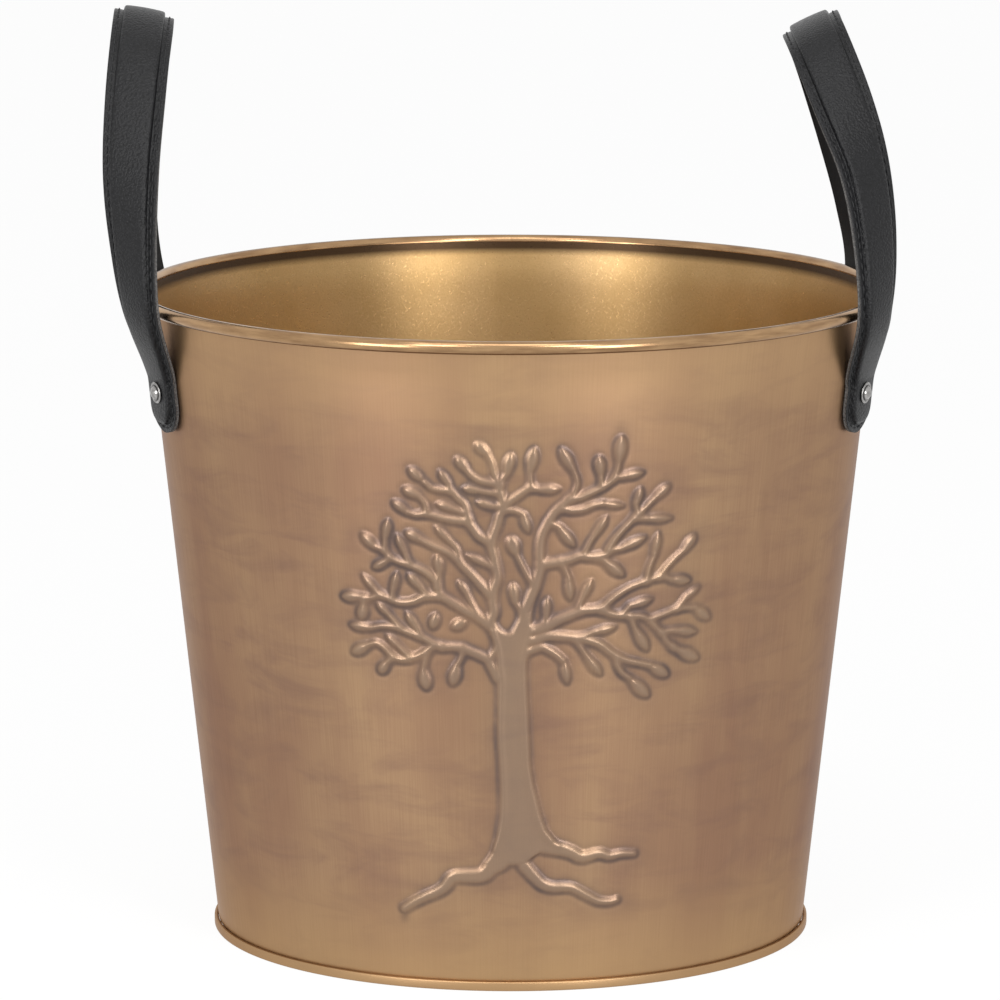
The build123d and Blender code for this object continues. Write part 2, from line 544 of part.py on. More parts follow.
def make_rivet():
    """A rivet with a stepped head outside and a closed tail inside."""
    head = COVER_TOP + LAYER_GAP
    inner = -(BURR_DEPTH + BURR_THICKNESS + LAYER_GAP)
    rim = head + RIVET_FLANGE_RISE
    groove = (RIVET_DOME + RIVET_FLANGE) / 2
    top = head + RIVET_DOME_RISE
    edges = Polyline(
        (0, top),
        (0, inner - RIVET_TAIL_RISE),
        (RIVET_TAIL * 0.7, inner - RIVET_TAIL_RISE),
        (RIVET_TAIL, inner - RIVET_TAIL_RISE * 0.4),
        (RIVET_TAIL, inner),
        (RIVET_SHANK, inner),
        (RIVET_SHANK, head),
        (RIVET_FLANGE, head),
        (RIVET_FLANGE, rim - RIVET_FLANGE_RISE * 0.4),
        (RIVET_FLANGE - RIVET_FLANGE_RISE * 0.4, rim),
        (groove, rim - RIVET_FLANGE_RISE * 0.5),
        (RIVET_DOME, rim),
    ).edges()
    rise = top - rim
    ball = (RIVET_DOME ** 2 + rise ** 2) / (2 * rise)
    half_turn = math.asin(RIVET_DOME / ball) / 2
    middle = (ball * math.sin(half_turn), top - ball + ball * math.cos(half_turn))
    edges += [ThreePointArc((RIVET_DOME, rim), middle, (0, top))]
    return turned(edges)


def make_burr():
    burr = Cylinder(BURR_RADIUS, BURR_THICKNESS, align=(Align.CENTER, Align.CENTER, Align.MAX))
    return Pos(0, 0, -BURR_DEPTH) * (burr - Cylinder(RIVET_SHANK + FIT_GAP, 4 * BURR_THICKNESS))


def fold_line(strap):
    """The X of the fold line: halfway between where the two legs' middles cross the fold's height."""
    up, down = 0.0, strap.length
    while strap.row(up)[0][2] < FOLD_HEIGHT:
        up += 0.1
    while strap.row(down)[0][2] < FOLD_HEIGHT:
        down -= 0.1
    return (strap.point(up, 0, COVER_TOP / 2).X + strap.point(down, 0, COVER_TOP / 2).X) / 2


def make_handle(front, rear, top):
    """Every layer of one handle at +X, each as the loop that turns and the two tabs that stay."""
    strap = Strap(front, rear, top)
    print("strap length", round(strap.length + 2 * strap.tab, 1), "fold line at", round(fold_line(strap), 2),
          round(FOLD_HEIGHT, 2))
    shoulder = PAD_HALF - PAD_SHOULDER
    crown = shoulder + COVER / 2
    room, room_top = PAD_HALF + LAYER_GAP, shoulder + LAYER_GAP
    seam, seam_base = STRAP_HALF - THREAD_INSET - THREAD_WIDTH / 2, COVER_FLANGE + LAYER_GAP
    seam_edge, seam_top = seam + THREAD_WIDTH, seam_base + THREAD_RISE
    halves = {
        "backing": [(STRAP_HALF, 0), (STRAP_HALF, BACKING)],
        "core": [(PAD_HALF, COVER_BASE), (shoulder, PAD_TOP)],
        "cover": [(room_top, PAD_TOP + LAYER_GAP), (room, COVER_BASE), (STRAP_HALF, COVER_BASE),
                  (STRAP_HALF, COVER_FLANGE), (HUMP_HALF, COVER_FLANGE), (crown, COVER_TOP)],
    }
    sections = {name: [half + [(-across, out) for across, out in reversed(half)]]
                for name, half in halves.items()}
    thread = [(seam, seam_base), (seam_edge, seam_base), (seam_edge, seam_top), (seam, seam_top)]
    sections["stitching"] = [thread, [(-across, out) for across, out in thread]]
    tabs = {
        "backing": strap.tab_layer(STRAP_HALF, 0, STRAP_HALF, BACKING),
        "core": strap.tab_layer(PAD_HALF, COVER_BASE, shoulder, PAD_TOP),
        "cover": strap.tab_layer(STRAP_HALF, COVER_BASE, STRAP_HALF, COVER_FLANGE)
        + strap.tab_layer(HUMP_HALF, COVER_FLANGE, crown, COVER_TOP)
        - strap.tab_layer(room, COVER_BASE, room_top, PAD_TOP + LAYER_GAP),
        "stitching": strap.tab_layer(seam_edge, seam_base, seam_edge, seam_top)
        - strap.tab_layer(seam, seam_base, seam, seam_top),
    }
    hole = rivet_places()[0] * Cylinder(RIVET_SHANK + FIT_GAP, 4 * COVER_TOP)
    line = Pos(fold_line(strap), 0, FOLD_HEIGHT) * Rot(90, 0, 0)
    turning = line * Cylinder(FOLD_RADIUS, FAR)
    clear = line * Cylinder(FOLD_RADIUS + FOLD_GAP, FAR)
    below = Box(FAR, FAR, FOLD_HEIGHT, align=(Align.CENTER, Align.CENTER, Align.MIN))
    ahead = Box(FAR, FAR, FOLD_HEIGHT, align=(Align.CENTER, Align.MAX, Align.MIN)) - clear
    behind = Box(FAR, FAR, FOLD_HEIGHT, align=(Align.CENTER, Align.MIN, Align.MIN)) - clear
    nodes = {}
    for name, outlines in sections.items():
        tab = tabs[name] - hole
        ends = [tab, mirror(tab, about=Plane.XZ)]
        loops = []
        for outline in outlines:
            arch = strap.arch(outline)
            loops.append(arch - (below - turning))
            ends = [end + (arch & half) for end, half in zip(ends, (ahead, behind))]
        nodes[name + "_loop"] = loops
        nodes[name + "_tabs"] = ends
    return nodes


def solids_of(shape):
    if isinstance(shape, (list, tuple)):
        return [solid for item in shape for solid in item.solids()]
    return shape.solids()


def write(name, shape):
    solids = solids_of(shape)
    export_step(Compound(children=solids) if len(solids) > 1 else solids[0], f"parts/{name}.step")


os.makedirs("parts", exist_ok=True)
write("bucket_wall", make_wall())
write("bucket_floor", make_floor())
write("rim_wire", Pos(0, 0, BEAD_HEIGHT) * Torus(BEAD_CENTRE, WIRE_RADIUS))
places = rivet_places()
routes = {"right": (RIGHT_FRONT, RIGHT_REAR, RIGHT_TOP), "left": (LEFT_FRONT, LEFT_REAR, LEFT_TOP)}
for side, route in routes.items():
    handle = make_handle(*route)
    at = places[:2] if side == "right" else places[2:]
    for name, shape in handle.items():
        solids = solids_of(shape)
        if side == "left":
            solids = [mirror(solid, about=Plane.YZ) for solid in solids]
        write(f"{side}_{name}", solids)
    write(f"{side}_rivets", [place * make_rivet() for place in at])
    write(f"{side}_burrs", [place * make_burr() for place in at])
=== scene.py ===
import math
import bpy
import numpy as np
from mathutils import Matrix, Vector


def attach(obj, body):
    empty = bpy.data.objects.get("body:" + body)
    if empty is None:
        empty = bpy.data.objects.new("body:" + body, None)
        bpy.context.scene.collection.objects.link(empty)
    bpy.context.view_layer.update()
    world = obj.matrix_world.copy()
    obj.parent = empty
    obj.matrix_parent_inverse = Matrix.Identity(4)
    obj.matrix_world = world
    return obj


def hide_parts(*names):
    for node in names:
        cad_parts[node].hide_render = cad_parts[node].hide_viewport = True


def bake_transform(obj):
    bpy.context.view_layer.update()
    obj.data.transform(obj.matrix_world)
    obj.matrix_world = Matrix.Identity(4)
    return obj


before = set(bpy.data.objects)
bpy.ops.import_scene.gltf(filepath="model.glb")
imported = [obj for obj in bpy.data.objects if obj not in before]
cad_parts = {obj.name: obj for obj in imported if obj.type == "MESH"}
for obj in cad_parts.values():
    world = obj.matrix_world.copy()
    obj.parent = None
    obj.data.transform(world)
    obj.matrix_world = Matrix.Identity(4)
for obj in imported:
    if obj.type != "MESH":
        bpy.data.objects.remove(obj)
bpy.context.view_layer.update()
MM = 0.001

# Sizes of the object in millimetres and degrees, as in the solid model, unless a comment says otherwise
FOOT_RADIUS = 133.0
FLARE = 0.108
RIM_RADIUS = 170.0
RIM_HEIGHT = 292.7
NECK_HEIGHT = 275.7
SHEET = 0.8
BEAD_RADIUS = 2.9
BEAD_CENTRE = RIM_RADIUS - BEAD_RADIUS
BEAD_HEIGHT = RIM_HEIGHT - BEAD_RADIUS
FLOOR_TOP = 9.8
HOOK_CENTRE = 134.6    # middle of the rounding of the hooked edge round the foot
RELIEF = 1.15          # softer than the solid tree, which stands 1.7 proud
RIDGE_LIFT = 0.45      # of the bands on the trunk, which the solid tree doesn't have
LAP_ANGLE = 2.3        # half the lap of the sheet at the back

STRAP_HALF = 13.5
BACKING = 1.0
COVER_FLANGE = 1.95
COVER_TOP = 4.6
HUMP_HALF = 9.35
RIVET_HEIGHT = 253.0
RIVET_ANGLE = 18.9
TAB_AZIMUTH = 27.0
TAB_REACH = 18.5
TAB_RISE = 6.0
STRAP_GAP = 1.7
BEAD_GAP = 1.9
RIVET_SEAT = 4.15      # from the strap's inner face to the underside of the rivet's head
RIVET_TAIL = 2.25      # from the strap's inner face in to the start of the rivet's closed tail

STITCH_INSET = 2.1     # from the strap's edge in to the seam
STITCH_PITCH = 4.6
STITCH_LENGTH = 3.3
STITCH_RADIUS = 0.42

# Each leg's route: half the leg distance and azimuth at the bead, then rows of height above the rim,
# inset from the rim's radius, half the leg distance, azimuth and tilt. The arches' tops are rows too.
LEFT_FRONT = ((65.5, 37.0), (
    (27.3, 4.5, 63.5, 49.8, 1.2),
    (59.3, 3.1, 55.7, 65.9, 3.6),
    (89.3, 4.4, 44.0, 78.1, 6.6),
    (111.3, 5.8, 25.9, 85.0, 9.0),
))
LEFT_REAR = ((55.0, 38.0), (
    (27.3, -1.3, 57.3, 42.0, 1.2),
    (59.3, -2.2, 54.5, 67.0, 3.6),
    (89.3, 0.8, 44.0, 78.1, 6.6),
    (111.3, 4.1, 25.9, 85.0, 9.0),
))
LEFT_TOP = (120.6, 5.9, 0.0, 90.0, 10.2)
RIGHT_FRONT = ((69.5, 33.5), (
    (27.3, 10.7, 65.0, 43.5, 3.1),
    (59.3, 15.0, 56.0, 54.0, 9.0),
    (89.3, 24.5, 44.4, 77.0, 16.7),
    (111.3, 33.2, 25.0, 85.2, 22.6),
))
RIGHT_REAR = ((64.0, 28.0), (
    (27.3, 11.0, 60.3, 46.0, 3.1),
    (59.3, 17.6, 56.0, 60.0, 9.0),
    (89.3, 25.4, 44.4, 77.0, 16.7),
    (111.3, 33.0, 25.0, 85.2, 22.6),
))
RIGHT_TOP = (116.5, 35.5, 0.0, 90.0, 25.7)

# The tree, drawn on the front as seen from -Y, in points of x and z. The trunk's left side runs down and
# its right side up
TRUNK_LEFT = (
    (-7.2, 165), (-6.8, 150), (-6.4, 139), (-6.4, 115), (-5.6, 103), (-5.2, 90), (-5.5, 80), (-6.8, 71),
    (-8.6, 64), (-11.4, 59),
)
TRUNK_RIGHT = (
    (5, 57), (8, 60), (13, 63.5), (18.5, 67), (19.3, 69), (15.7, 74), (13.5, 80), (12, 87), (10, 95),
    (8.8, 103), (8.4, 115), (7.4, 139), (7.2, 150), (9.2, 165),
)
# Each limb's width at its start and at its end, then the points along its middle
LIMBS = (
    # the roots
    (7.5, 4.0, ((-5, 58.5), (-8.5, 56.5), (-11.5, 53.5), (-15, 52.5), (-20, 52.3), (-24, 52),
        (-26.5, 50.5), (-29, 47), (-32.5, 44.5), (-37.5, 42), (-42.5, 39), (-46.5, 36))),
    (7.0, 3.0, ((15, 66), (22, 64.5), (26, 63), (31, 60.6), (38, 61.8), (43, 60.4), (48, 61),
        (53.5, 60.6))),
    (6.0, 3.0, ((6, 57), (9.5, 53), (13.5, 49), (18, 47.3), (23, 47.2), (27, 46.5), (32, 43.5),
        (38, 40), (43, 39.3), (46, 40))),
    # the two stems that the trunk splits into
    (4.8, 4.0, ((-6, 160), (-8.5, 167.5), (-7.5, 172.5), (-8, 177.5), (-7.5, 182.5), (-6, 187.5),
        (-6.5, 192.5), (-7.5, 197.5), (-8.5, 202.5), (-7.5, 207), (-6, 211.5), (-5, 215.5), (-3.5, 219),
        (-4, 223), (-5, 226.5), (-5, 229))),
    (5.4, 4.0, ((3, 164), (5, 168.5), (6, 173), (8, 178), (10, 183), (11.5, 188), (12.5, 193),
        (12.3, 198), (12.5, 203), (13.5, 207.5), (16, 212.5), (18.5, 216.5), (21.5, 219.5),
        (25, 222.5))),
    # left side, from the bottom
    (4.6, 4.0, ((-6, 143), (-8.5, 148), (-10, 150.8), (-13.5, 152.8), (-17.5, 154.5), (-21, 156),
        (-25, 156.3), (-30, 156.3))),
    (3.4, 3.4, ((-8.5, 152), (-6.5, 156), (-5, 159.5))),
    (3.8, 3.0, ((-30, 156.3), (-33.5, 157.5), (-37, 159.5), (-41, 161), (-45, 162.3), (-49, 163.8),
        (-52.5, 164.2), (-56.5, 164), (-60.5, 163))),
    (3.6, 2.8, ((-33.5, 156.5), (-37.5, 153.3), (-41, 151.3), (-45, 149.8), (-49, 149.8), (-52, 151.5),
        (-55, 154.5), (-58.5, 156.2), (-62, 155))),
    (4.8, 2.8, ((-10, 167), (-15, 170.5), (-20, 173), (-25, 176), (-30, 178.5), (-37, 178.5),
        (-42.5, 176), (-48, 175.3), (-52, 176.5), (-56.5, 177.8), (-60.5, 176.5), (-64, 175.8))),
    (3.8, 2.8, ((-31, 180), (-32.5, 185.5), (-37, 189.5), (-43, 192.2), (-48, 193.5), (-52, 195.3),
        (-54.5, 198), (-58, 199.5))),
    (4.4, 3.0, ((-9.5, 180.5), (-13.5, 185), (-17.5, 189.5), (-21, 193), (-23, 195.5), (-27, 198.5),
        (-34, 201.5), (-39, 204))),
    (4.2, 4.0, ((-9, 203.5), (-13.5, 206), (-16, 209), (-19, 213.5))),
    (3.8, 2.8, ((-19, 212.6), (-27.5, 213.5), (-33.5, 215), (-37, 215.5), (-41, 215), (-44.5, 216))),
    (3.6, 2.8, ((-18.5, 214), (-20, 220), (-23, 223), (-26, 226), (-30, 226.3), (-34, 227),
        (-37, 229.5))),
    (3.4, 2.8, ((-5, 229.3), (-10, 230), (-14, 231), (-17.5, 233.5), (-19.5, 236))),
    # right side, from the top
    (4.2, 3.2, ((-3.5, 219.4), (-1, 221.5), (2.5, 224), (6, 226.5), (8.5, 228))),
    (4.0, 3.0, ((25, 222.5), (29, 223), (34, 225), (39.5, 227.5), (43, 230), (45, 231.5),
        (47.5, 231.5))),
    (4.0, 2.8, ((21.5, 218.5), (26, 217.5), (31, 217.8), (35, 219.3), (39, 220))),
    (4.6, 3.2, ((13, 193.5), (20, 194.5), (25, 195.5), (29.5, 197), (33.5, 196.5), (37, 196.5),
        (41, 197.5), (42, 200), (44.5, 204), (47.5, 207.5), (51, 211), (54.5, 214.5))),
    (5.4, 4.0, ((7, 164), (14, 165.5), (20, 168.5), (25, 170.5), (30, 172.5), (35, 172.8), (40, 173))),
    (3.6, 2.8, ((39, 173), (42, 176), (46, 179), (51, 181.8), (56, 183.5), (60, 184.5), (65, 185.5),
        (69, 184))),
    (3.8, 2.6, ((39, 172.5), (43, 170.5), (47, 169.5), (52, 169), (56.5, 168.3), (60, 167), (65, 168.3),
        (70, 169.8), (74, 170.5), (80, 170))),
    (3.2, 2.8, ((60.5, 165.5), (63, 162.5), (65.5, 159.5), (67.5, 156), (70.5, 153))),
    (5.2, 3.0, ((6, 160), (10, 160), (15, 161.5), (20, 161.3), (25, 160.8), (30, 160), (35, 158.5),
        (39, 156.5), (42.5, 153.5), (46, 151), (50, 149), (55, 147.5), (60, 146))),
    (3.2, 2.8, ((45.5, 150.5), (46, 147), (48, 143.5), (51, 141))),
    (4.4, 3.2, ((5, 154), (12.5, 156.5), (16.5, 155), (20, 152.5), (22, 150.5))),
)
# Soft raised bands on the trunk: each one's width, then the points along its middle
RIDGES = (
    (2.6, ((-7.5, 164), (-5.6, 156), (-4.6, 148), (-3.8, 140), (-4.4, 120), (-3.4, 100), (-3, 84),
        (-4, 74), (-7, 65))),
    (3.4, ((8.5, 164), (5.2, 150), (5.2, 138), (6.2, 116), (6.8, 104), (8.4, 94), (11, 82),
        (14.5, 72), (20, 66.5))),
)
# Each leaf's width and tip, then its stalk end and the points of its twig, if it has one of its own
LEAVES = (
    (4.5, (-64.5, 205), (-58.5, 199)),
    (4.3, (-53, 212), (-54.3, 204), (-54.5, 198)),
    (3.8, (-49.2, 205.5), (-46, 198.5), (-44, 193)),
    (4.0, (-59.5, 190), (-54, 193.5), (-52.5, 195.3)),
    (4.6, (-31.8, 197.5), (-31, 190), (-31.5, 185.5), (-32, 183)),
    (4.3, (-44.5, 188.3), (-39, 182.5), (-36.5, 179)),
    (3.6, (-64.3, 186.5), (-57.5, 179), (-55.5, 177.6)),
    (5.0, (-73.3, 176), (-65.3, 176.5), (-63, 176)),
    (5.0, (-64.8, 166.3), (-63.8, 173), (-63.6, 176)),
    (3.8, (-49.3, 188.5), (-51, 180.5), (-51.5, 176.8)),
    (3.6, (-58, 174.4), (-53.5, 170.3), (-51, 167.5), (-48, 164)),
    (4.0, (-45.2, 171), (-40.5, 164), (-39.3, 160.8)),
    (4.8, (-34.2, 164.5), (-32.2, 171)),
    (4.6, (-45.5, 207), (-39, 204)),
    (3.6, (-32.5, 210), (-27, 204.3), (-23.5, 200.5), (-22.5, 195.5)),
    (4.5, (-69.8, 163.5), (-60.5, 162.8)),
    (3.2, (-53.8, 160), (-49.5, 156.3), (-44, 151)),
    (5.0, (-68.8, 150.8), (-62, 155)),
    (4.5, (-56.5, 143.3), (-54.5, 147), (-51.5, 150)),
    (5.6, (-36.5, 136.8), (-38, 145.5), (-36.5, 153)),
    (5.5, (-25.5, 139.2), (-23.5, 148), (-21.5, 152), (-21, 156)),
    (5.0, (-19.8, 168.3), (-25.5, 165)),
    (3.6, (-22.5, 186), (-19.3, 181), (-17, 176), (-15, 172)),
    (3.6, (-19, 197.8), (-10, 193.5), (-7, 192)),
    (6.0, (-0.5, 206), (2, 199), (5, 192.5), (8, 187), (10, 184)),
    (4.8, (0.5, 185.5), (2, 176.5), (5, 172)),
    (4.0, (15.5, 178.8), (15, 170.5), (14.5, 166)),
    (4.2, (7.5, 208), (5, 216), (1.5, 217.5), (-3, 218)),
    (4.5, (-44, 235.5), (-38, 230.3)),
    (3.8, (-30.8, 235), (-27, 229.5), (-26.3, 226)),
    (4.6, (-46.5, 226.3), (-40, 223.5), (-37, 220), (-36.5, 216)),
    (4.4, (-51, 220.5), (-44.5, 216)),
    (3.8, (-32, 220.3), (-25, 218), (-20.5, 216.5)),
    (4.6, (-23.5, 241), (-19.5, 236)),
    (4.8, (-15, 247.5), (-10.5, 243), (-8.5, 239), (-7.5, 235), (-6, 229.5)),
    (5.0, (0, 243.3), (-2, 234), (-4, 231), (-5, 228)),
    (3.8, (-20.8, 227.5), (-14.5, 226.5), (-8.5, 225.5), (-5, 225.5)),
    (3.6, (-14.8, 221.5), (-8, 219.5), (-4, 219.5)),
    (5.5, (10, 245.8), (8, 235), (8.3, 231), (8.8, 228)),
    (4.2, (20.8, 227), (12, 227), (8.5, 228)),
    (5.0, (21, 245.3), (26.5, 235.5), (28, 231.5), (28, 228), (26, 222.5)),
    (5.0, (37.5, 241), (38.3, 233.5), (38.8, 228)),
    (5.8, (47.3, 249.8), (46, 238.5), (45.5, 235), (44, 231)),
    (4.2, (56.8, 233), (47.5, 231.5)),
    (3.2, (48, 218.5), (39, 220)),
    (4.6, (27.3, 201.3), (20.3, 210.3), (16, 212.5)),
    (3.8, (41, 214), (36, 206.5), (33.5, 202.5), (31.5, 198)),
    (4.4, (58, 204), (47, 199.5), (42, 199)),
    (5.0, (48.5, 187.3), (40, 194.5), (37, 196)),
    (4.4, (25.5, 177.5), (24.5, 187.8), (22.5, 192.5), (21, 194.5)),
    (3.8, (34.5, 186), (31, 179), (29.5, 175), (29.5, 172)),
    (4.4, (60.8, 176), (51, 173.5), (48, 170)),
    (3.8, (63.5, 205.3), (61.5, 195), (59.5, 190), (58.3, 184)),
    (4.4, (79.5, 203), (74.5, 196.5), (71, 193.5), (67, 189.5), (64, 185.5)),
    (4.6, (77.3, 182.5), (69, 184)),
    (4.6, (86, 164), (80, 169.8)),
    (3.2, (81.3, 179.3), (75.5, 175), (72, 170.5)),
    (4.2, (80.5, 159), (70, 160.8), (65, 160.5)),
    (5.4, (81.3, 146.5), (72, 152), (70, 153.5)),
    (5.0, (59, 152.8), (53.5, 163), (51.5, 168.5)),
    (5.2, (68, 140.5), (60, 146)),
    (5.6, (59.5, 131.8), (51.5, 140.5)),
    (4.4, (24.3, 140), (22.8, 150.3)),
    (4.4, (38.8, 143.3), (32.5, 152), (30, 156), (27.5, 160)),
    (4.0, (45, 164.5), (35, 162.5), (30, 160.5)),
    (4.0, (55.8, 226), (53.5, 219), (54.5, 214.5)),
    (4.2, (68, 226.5), (62.5, 221.8), (59, 218.5), (54.5, 214)),
    (4.0, (69.3, 211.5), (56.5, 212.3), (53, 212.5)),
)


# The camera stands 2.98 m in front, a little above the rim
camera = bpy.data.objects.new("camera", bpy.data.cameras.new("camera"))
bpy.context.collection.objects.link(camera)
camera.location = (-0.00485, -2.9755, 0.7243)
camera.rotation_euler = (math.radians(90 - 10.096), 0, 0)
camera.data.sensor_width = 36
camera.data.lens = 240.4
camera.data.clip_end = 50
bpy.context.scene.camera = camera
bpy.context.scene.view_settings.view_transform = "Standard"


# Materials

class Nodes:
    """Shorthand for building one material's nodes."""

    def __init__(self, name):
        self.material = bpy.data.materials.new(name)
        self.material.use_nodes = True
        self.tree = self.material.node_tree
        self.shader = self.tree.nodes["Principled BSDF"]

    def set(self, **values):
        for key, value in values.items():
            self.shader.inputs[key.replace("_", " ")].default_value = value

    def add(self, kind, inputs=(), **settings):
        node = self.tree.nodes.new(kind)
        for key, value in settings.items():
            setattr(node, key, value)
        for key, value in dict(inputs).items():
            self.put(value, node.inputs[key])
        return node

    def put(self, value, socket):
        if isinstance(value, bpy.types.NodeSocket):
            self.tree.links.new(value, socket)
        else:
            socket.default_value = value

    def position(self, scale=(1, 1, 1)):
        """Object coordinates in millimetres, stretched by the scale."""
        coords = self.add("ShaderNodeTexCoord").outputs["Object"]
        return self.add("ShaderNodeMapping", {"Vector": coords, "Scale": [s / MM for s in scale]}).outputs[0]

    def noise(self, vector, scale, detail=3.0, roughness=0.5, distortion=0.0):
        node = self.add("ShaderNodeTexNoise", {"Vector": vector, "Scale": scale, "Detail": detail,
                                               "Roughness": roughness, "Distortion": distortion})
        return node.outputs["Fac"]

    def spread(self, value, low, high, to_low=0.0, to_high=1.0):
        node = self.add("ShaderNodeMapRange", {"Value": value, "From Min": low, "From Max": high,
                                               "To Min": to_low, "To Max": to_high})
        return node.outputs["Result"]

    def math(self, operation, a, b):
        return self.add("ShaderNodeMath", {0: a, 1: b}, operation=operation).outputs[0]

    def mix(self, factor, a, b):
        node = self.add("ShaderNodeMix", data_type="RGBA")
        self.put(factor, node.inputs[0])
        self.put(a, node.inputs[6])
        self.put(b, node.inputs[7])
        return node.outputs[2]

    def attribute(self, name):
        return self.add("ShaderNodeAttribute", attribute_name=name).outputs["Fac"]

    def bump(self, height, distance, strength):
        inputs = {"Height": height, "Distance": distance * MM, "Strength": strength}
        return self.add("ShaderNodeBump", inputs).outputs["Normal"]


def srgb(r, g, b):
    """An 8-bit screen colour as the linear colour that a shader takes."""
    parts = [c / 255 for c in (r, g, b)]
    return tuple(c / 12.92 if c <= 0.04045 else ((c + 0.055) / 1.055) ** 2.4 for c in parts) + (1.0,)


def around(n):
    """Angle round the vessel times 150 mm and height, as a vector that doesn't slant, then height alone."""
    split = n.add("ShaderNodeSeparateXYZ", {"Vector": n.position()})
    angle = n.math("ARCTAN2", split.outputs[0], n.math("MULTIPLY", split.outputs[1], -1.0))
    along = n.math("MULTIPLY", angle, 150.0)
    joined = n.add("ShaderNodeCombineXYZ", {0: along, 1: 0.0, 2: split.outputs[2]})
    return joined.outputs[0], split.outputs[2]


def brass_material():
    """Burnished antique brass with fine upright brushing and brown mottling, painted highlights lighter
    towards the rim and the foot, and dark patina with painted shade in the creases.
    """
    n = Nodes("antique_brass")
    place, height = around(n)
    upright = n.add("ShaderNodeMapping", {"Vector": place, "Scale": (1.0, 1.0, 0.02)}).outputs[0]
    lines = n.noise(upright, 1.5, 2.0, 0.5)
    level = n.add("ShaderNodeMapping", {"Vector": place, "Scale": (0.06, 1.0, 1.0)}).outputs[0]
    weave = n.noise(level, 0.8, 3.0, 0.6)
    tall = n.add("ShaderNodeMapping", {"Vector": place, "Scale": (1.0, 1.0, 0.35)}).outputs[0]
    blotch = n.noise(tall, 0.016, 4.0, 0.55, 0.3)
    smear = n.noise(n.add("ShaderNodeMapping", {"Vector": place, "Scale": (0.5, 1.0, 1.6)}).outputs[0],
                    0.045, 4.0, 0.6, 0.5)
    colour = n.mix(n.spread(blotch, 0.36, 0.66), srgb(166, 134, 103), srgb(148, 114, 91))
    colour = n.mix(n.spread(smear, 0.46, 0.70, 0.0, 0.6), colour, srgb(134, 104, 88))
    colour = n.mix(n.spread(lines, 0.35, 0.7, 0.0, 0.22), colour, srgb(130, 100, 76))
    # Painted highlight: the wall is lighter towards the rim
    colour = n.mix(n.spread(height, 236.0, 280.0, 0.0, 0.40), colour, srgb(192, 156, 112))
    # Painted highlight: golden towards the foot
    colour = n.mix(n.spread(height, 4.0, 50.0, 0.7, 0.0), colour, srgb(176, 142, 100))
    # Dark patina in the hollows, mixed with painted shade beside the tree's limbs and along the lap's edge,
    # made uneven by noise
    patina_and_shade = n.attribute("patina_and_shade")
    uneven = n.spread(n.noise(place, 0.05, 3.0, 0.5), 0.35, 0.65, 0.35, 0.85)
    colour = n.mix(n.math("MULTIPLY", patina_and_shade, uneven), colour, srgb(90, 78, 76))
    crest = n.attribute("crest")
    colour = n.mix(n.math("MULTIPLY", crest, 0.5), colour, srgb(146, 126, 108))
    n.put(colour, n.shader.inputs["Base Color"])
    rough = n.spread(lines, 0.3, 0.7, 0.36, 0.43)
    rough = n.math("SUBTRACT", rough, n.math("MULTIPLY", crest, 0.05))
    n.put(rough, n.shader.inputs["Roughness"])
    grain = n.math("ADD", n.math("MULTIPLY", lines, 0.9), n.math("MULTIPLY", weave, 0.1))
    n.put(n.bump(grain, 0.04, 0.6), n.shader.inputs["Normal"])
    n.set(Metallic=0.92, Specular_Tint=srgb(206, 190, 182))
    n.set(Coat_Weight=0.12, Coat_Roughness=0.3, Coat_IOR=1.5)
    return n.material


def bead_material():
    """The rolled rim: the same brass, rubbed bright."""
    n = Nodes("rim_brass")
    place = around(n)[0]
    level = n.add("ShaderNodeMapping", {"Vector": place, "Scale": (0.12, 1.0, 1.0)}).outputs[0]
    rub = n.noise(level, 0.4, 4.0, 0.6)
    colour = n.mix(n.spread(rub, 0.35, 0.7), srgb(180, 146, 108), srgb(140, 108, 78))
    # Painted shade under the bead and along its top
    colour = n.mix(n.attribute("patina_and_shade"), colour, srgb(84, 64, 48))
    n.put(colour, n.shader.inputs["Base Color"])
    n.put(n.spread(rub, 0.3, 0.7, 0.14, 0.26), n.shader.inputs["Roughness"])
    n.put(n.bump(rub, 0.05, 0.4), n.shader.inputs["Normal"])
    n.set(Metallic=1.0)
    return n.material


def inside_material():
    """Satin gold paint with a fine grain."""
    n = Nodes("inside_gold")
    place = n.position()
    grain = n.noise(place, 1.0, 3.0, 0.7)
    cloud = n.noise(place, 0.02, 3.0, 0.5)
    height = n.add("ShaderNodeSeparateXYZ", {"Vector": place}).outputs[2]
    colour = n.mix(n.spread(cloud, 0.35, 0.65), srgb(186, 153, 107), srgb(174, 141, 93))
    colour = n.mix(n.spread(grain, 0.45, 0.7, 0.0, 0.25), colour, srgb(128, 100, 60))
    # Painted shade: a dark band at the top of the inside, under the bead
    colour = n.mix(n.spread(height, 283.5, 287.0), colour, srgb(66, 48, 30))
    n.put(colour, n.shader.inputs["Base Color"])
    n.put(n.spread(grain, 0.3, 0.7, 0.26, 0.36), n.shader.inputs["Roughness"])
    n.put(n.bump(grain, 0.10, 0.7), n.shader.inputs["Normal"])
    n.set(Metallic=0.75, Specular_IOR_Level=0.3)
    return n.material


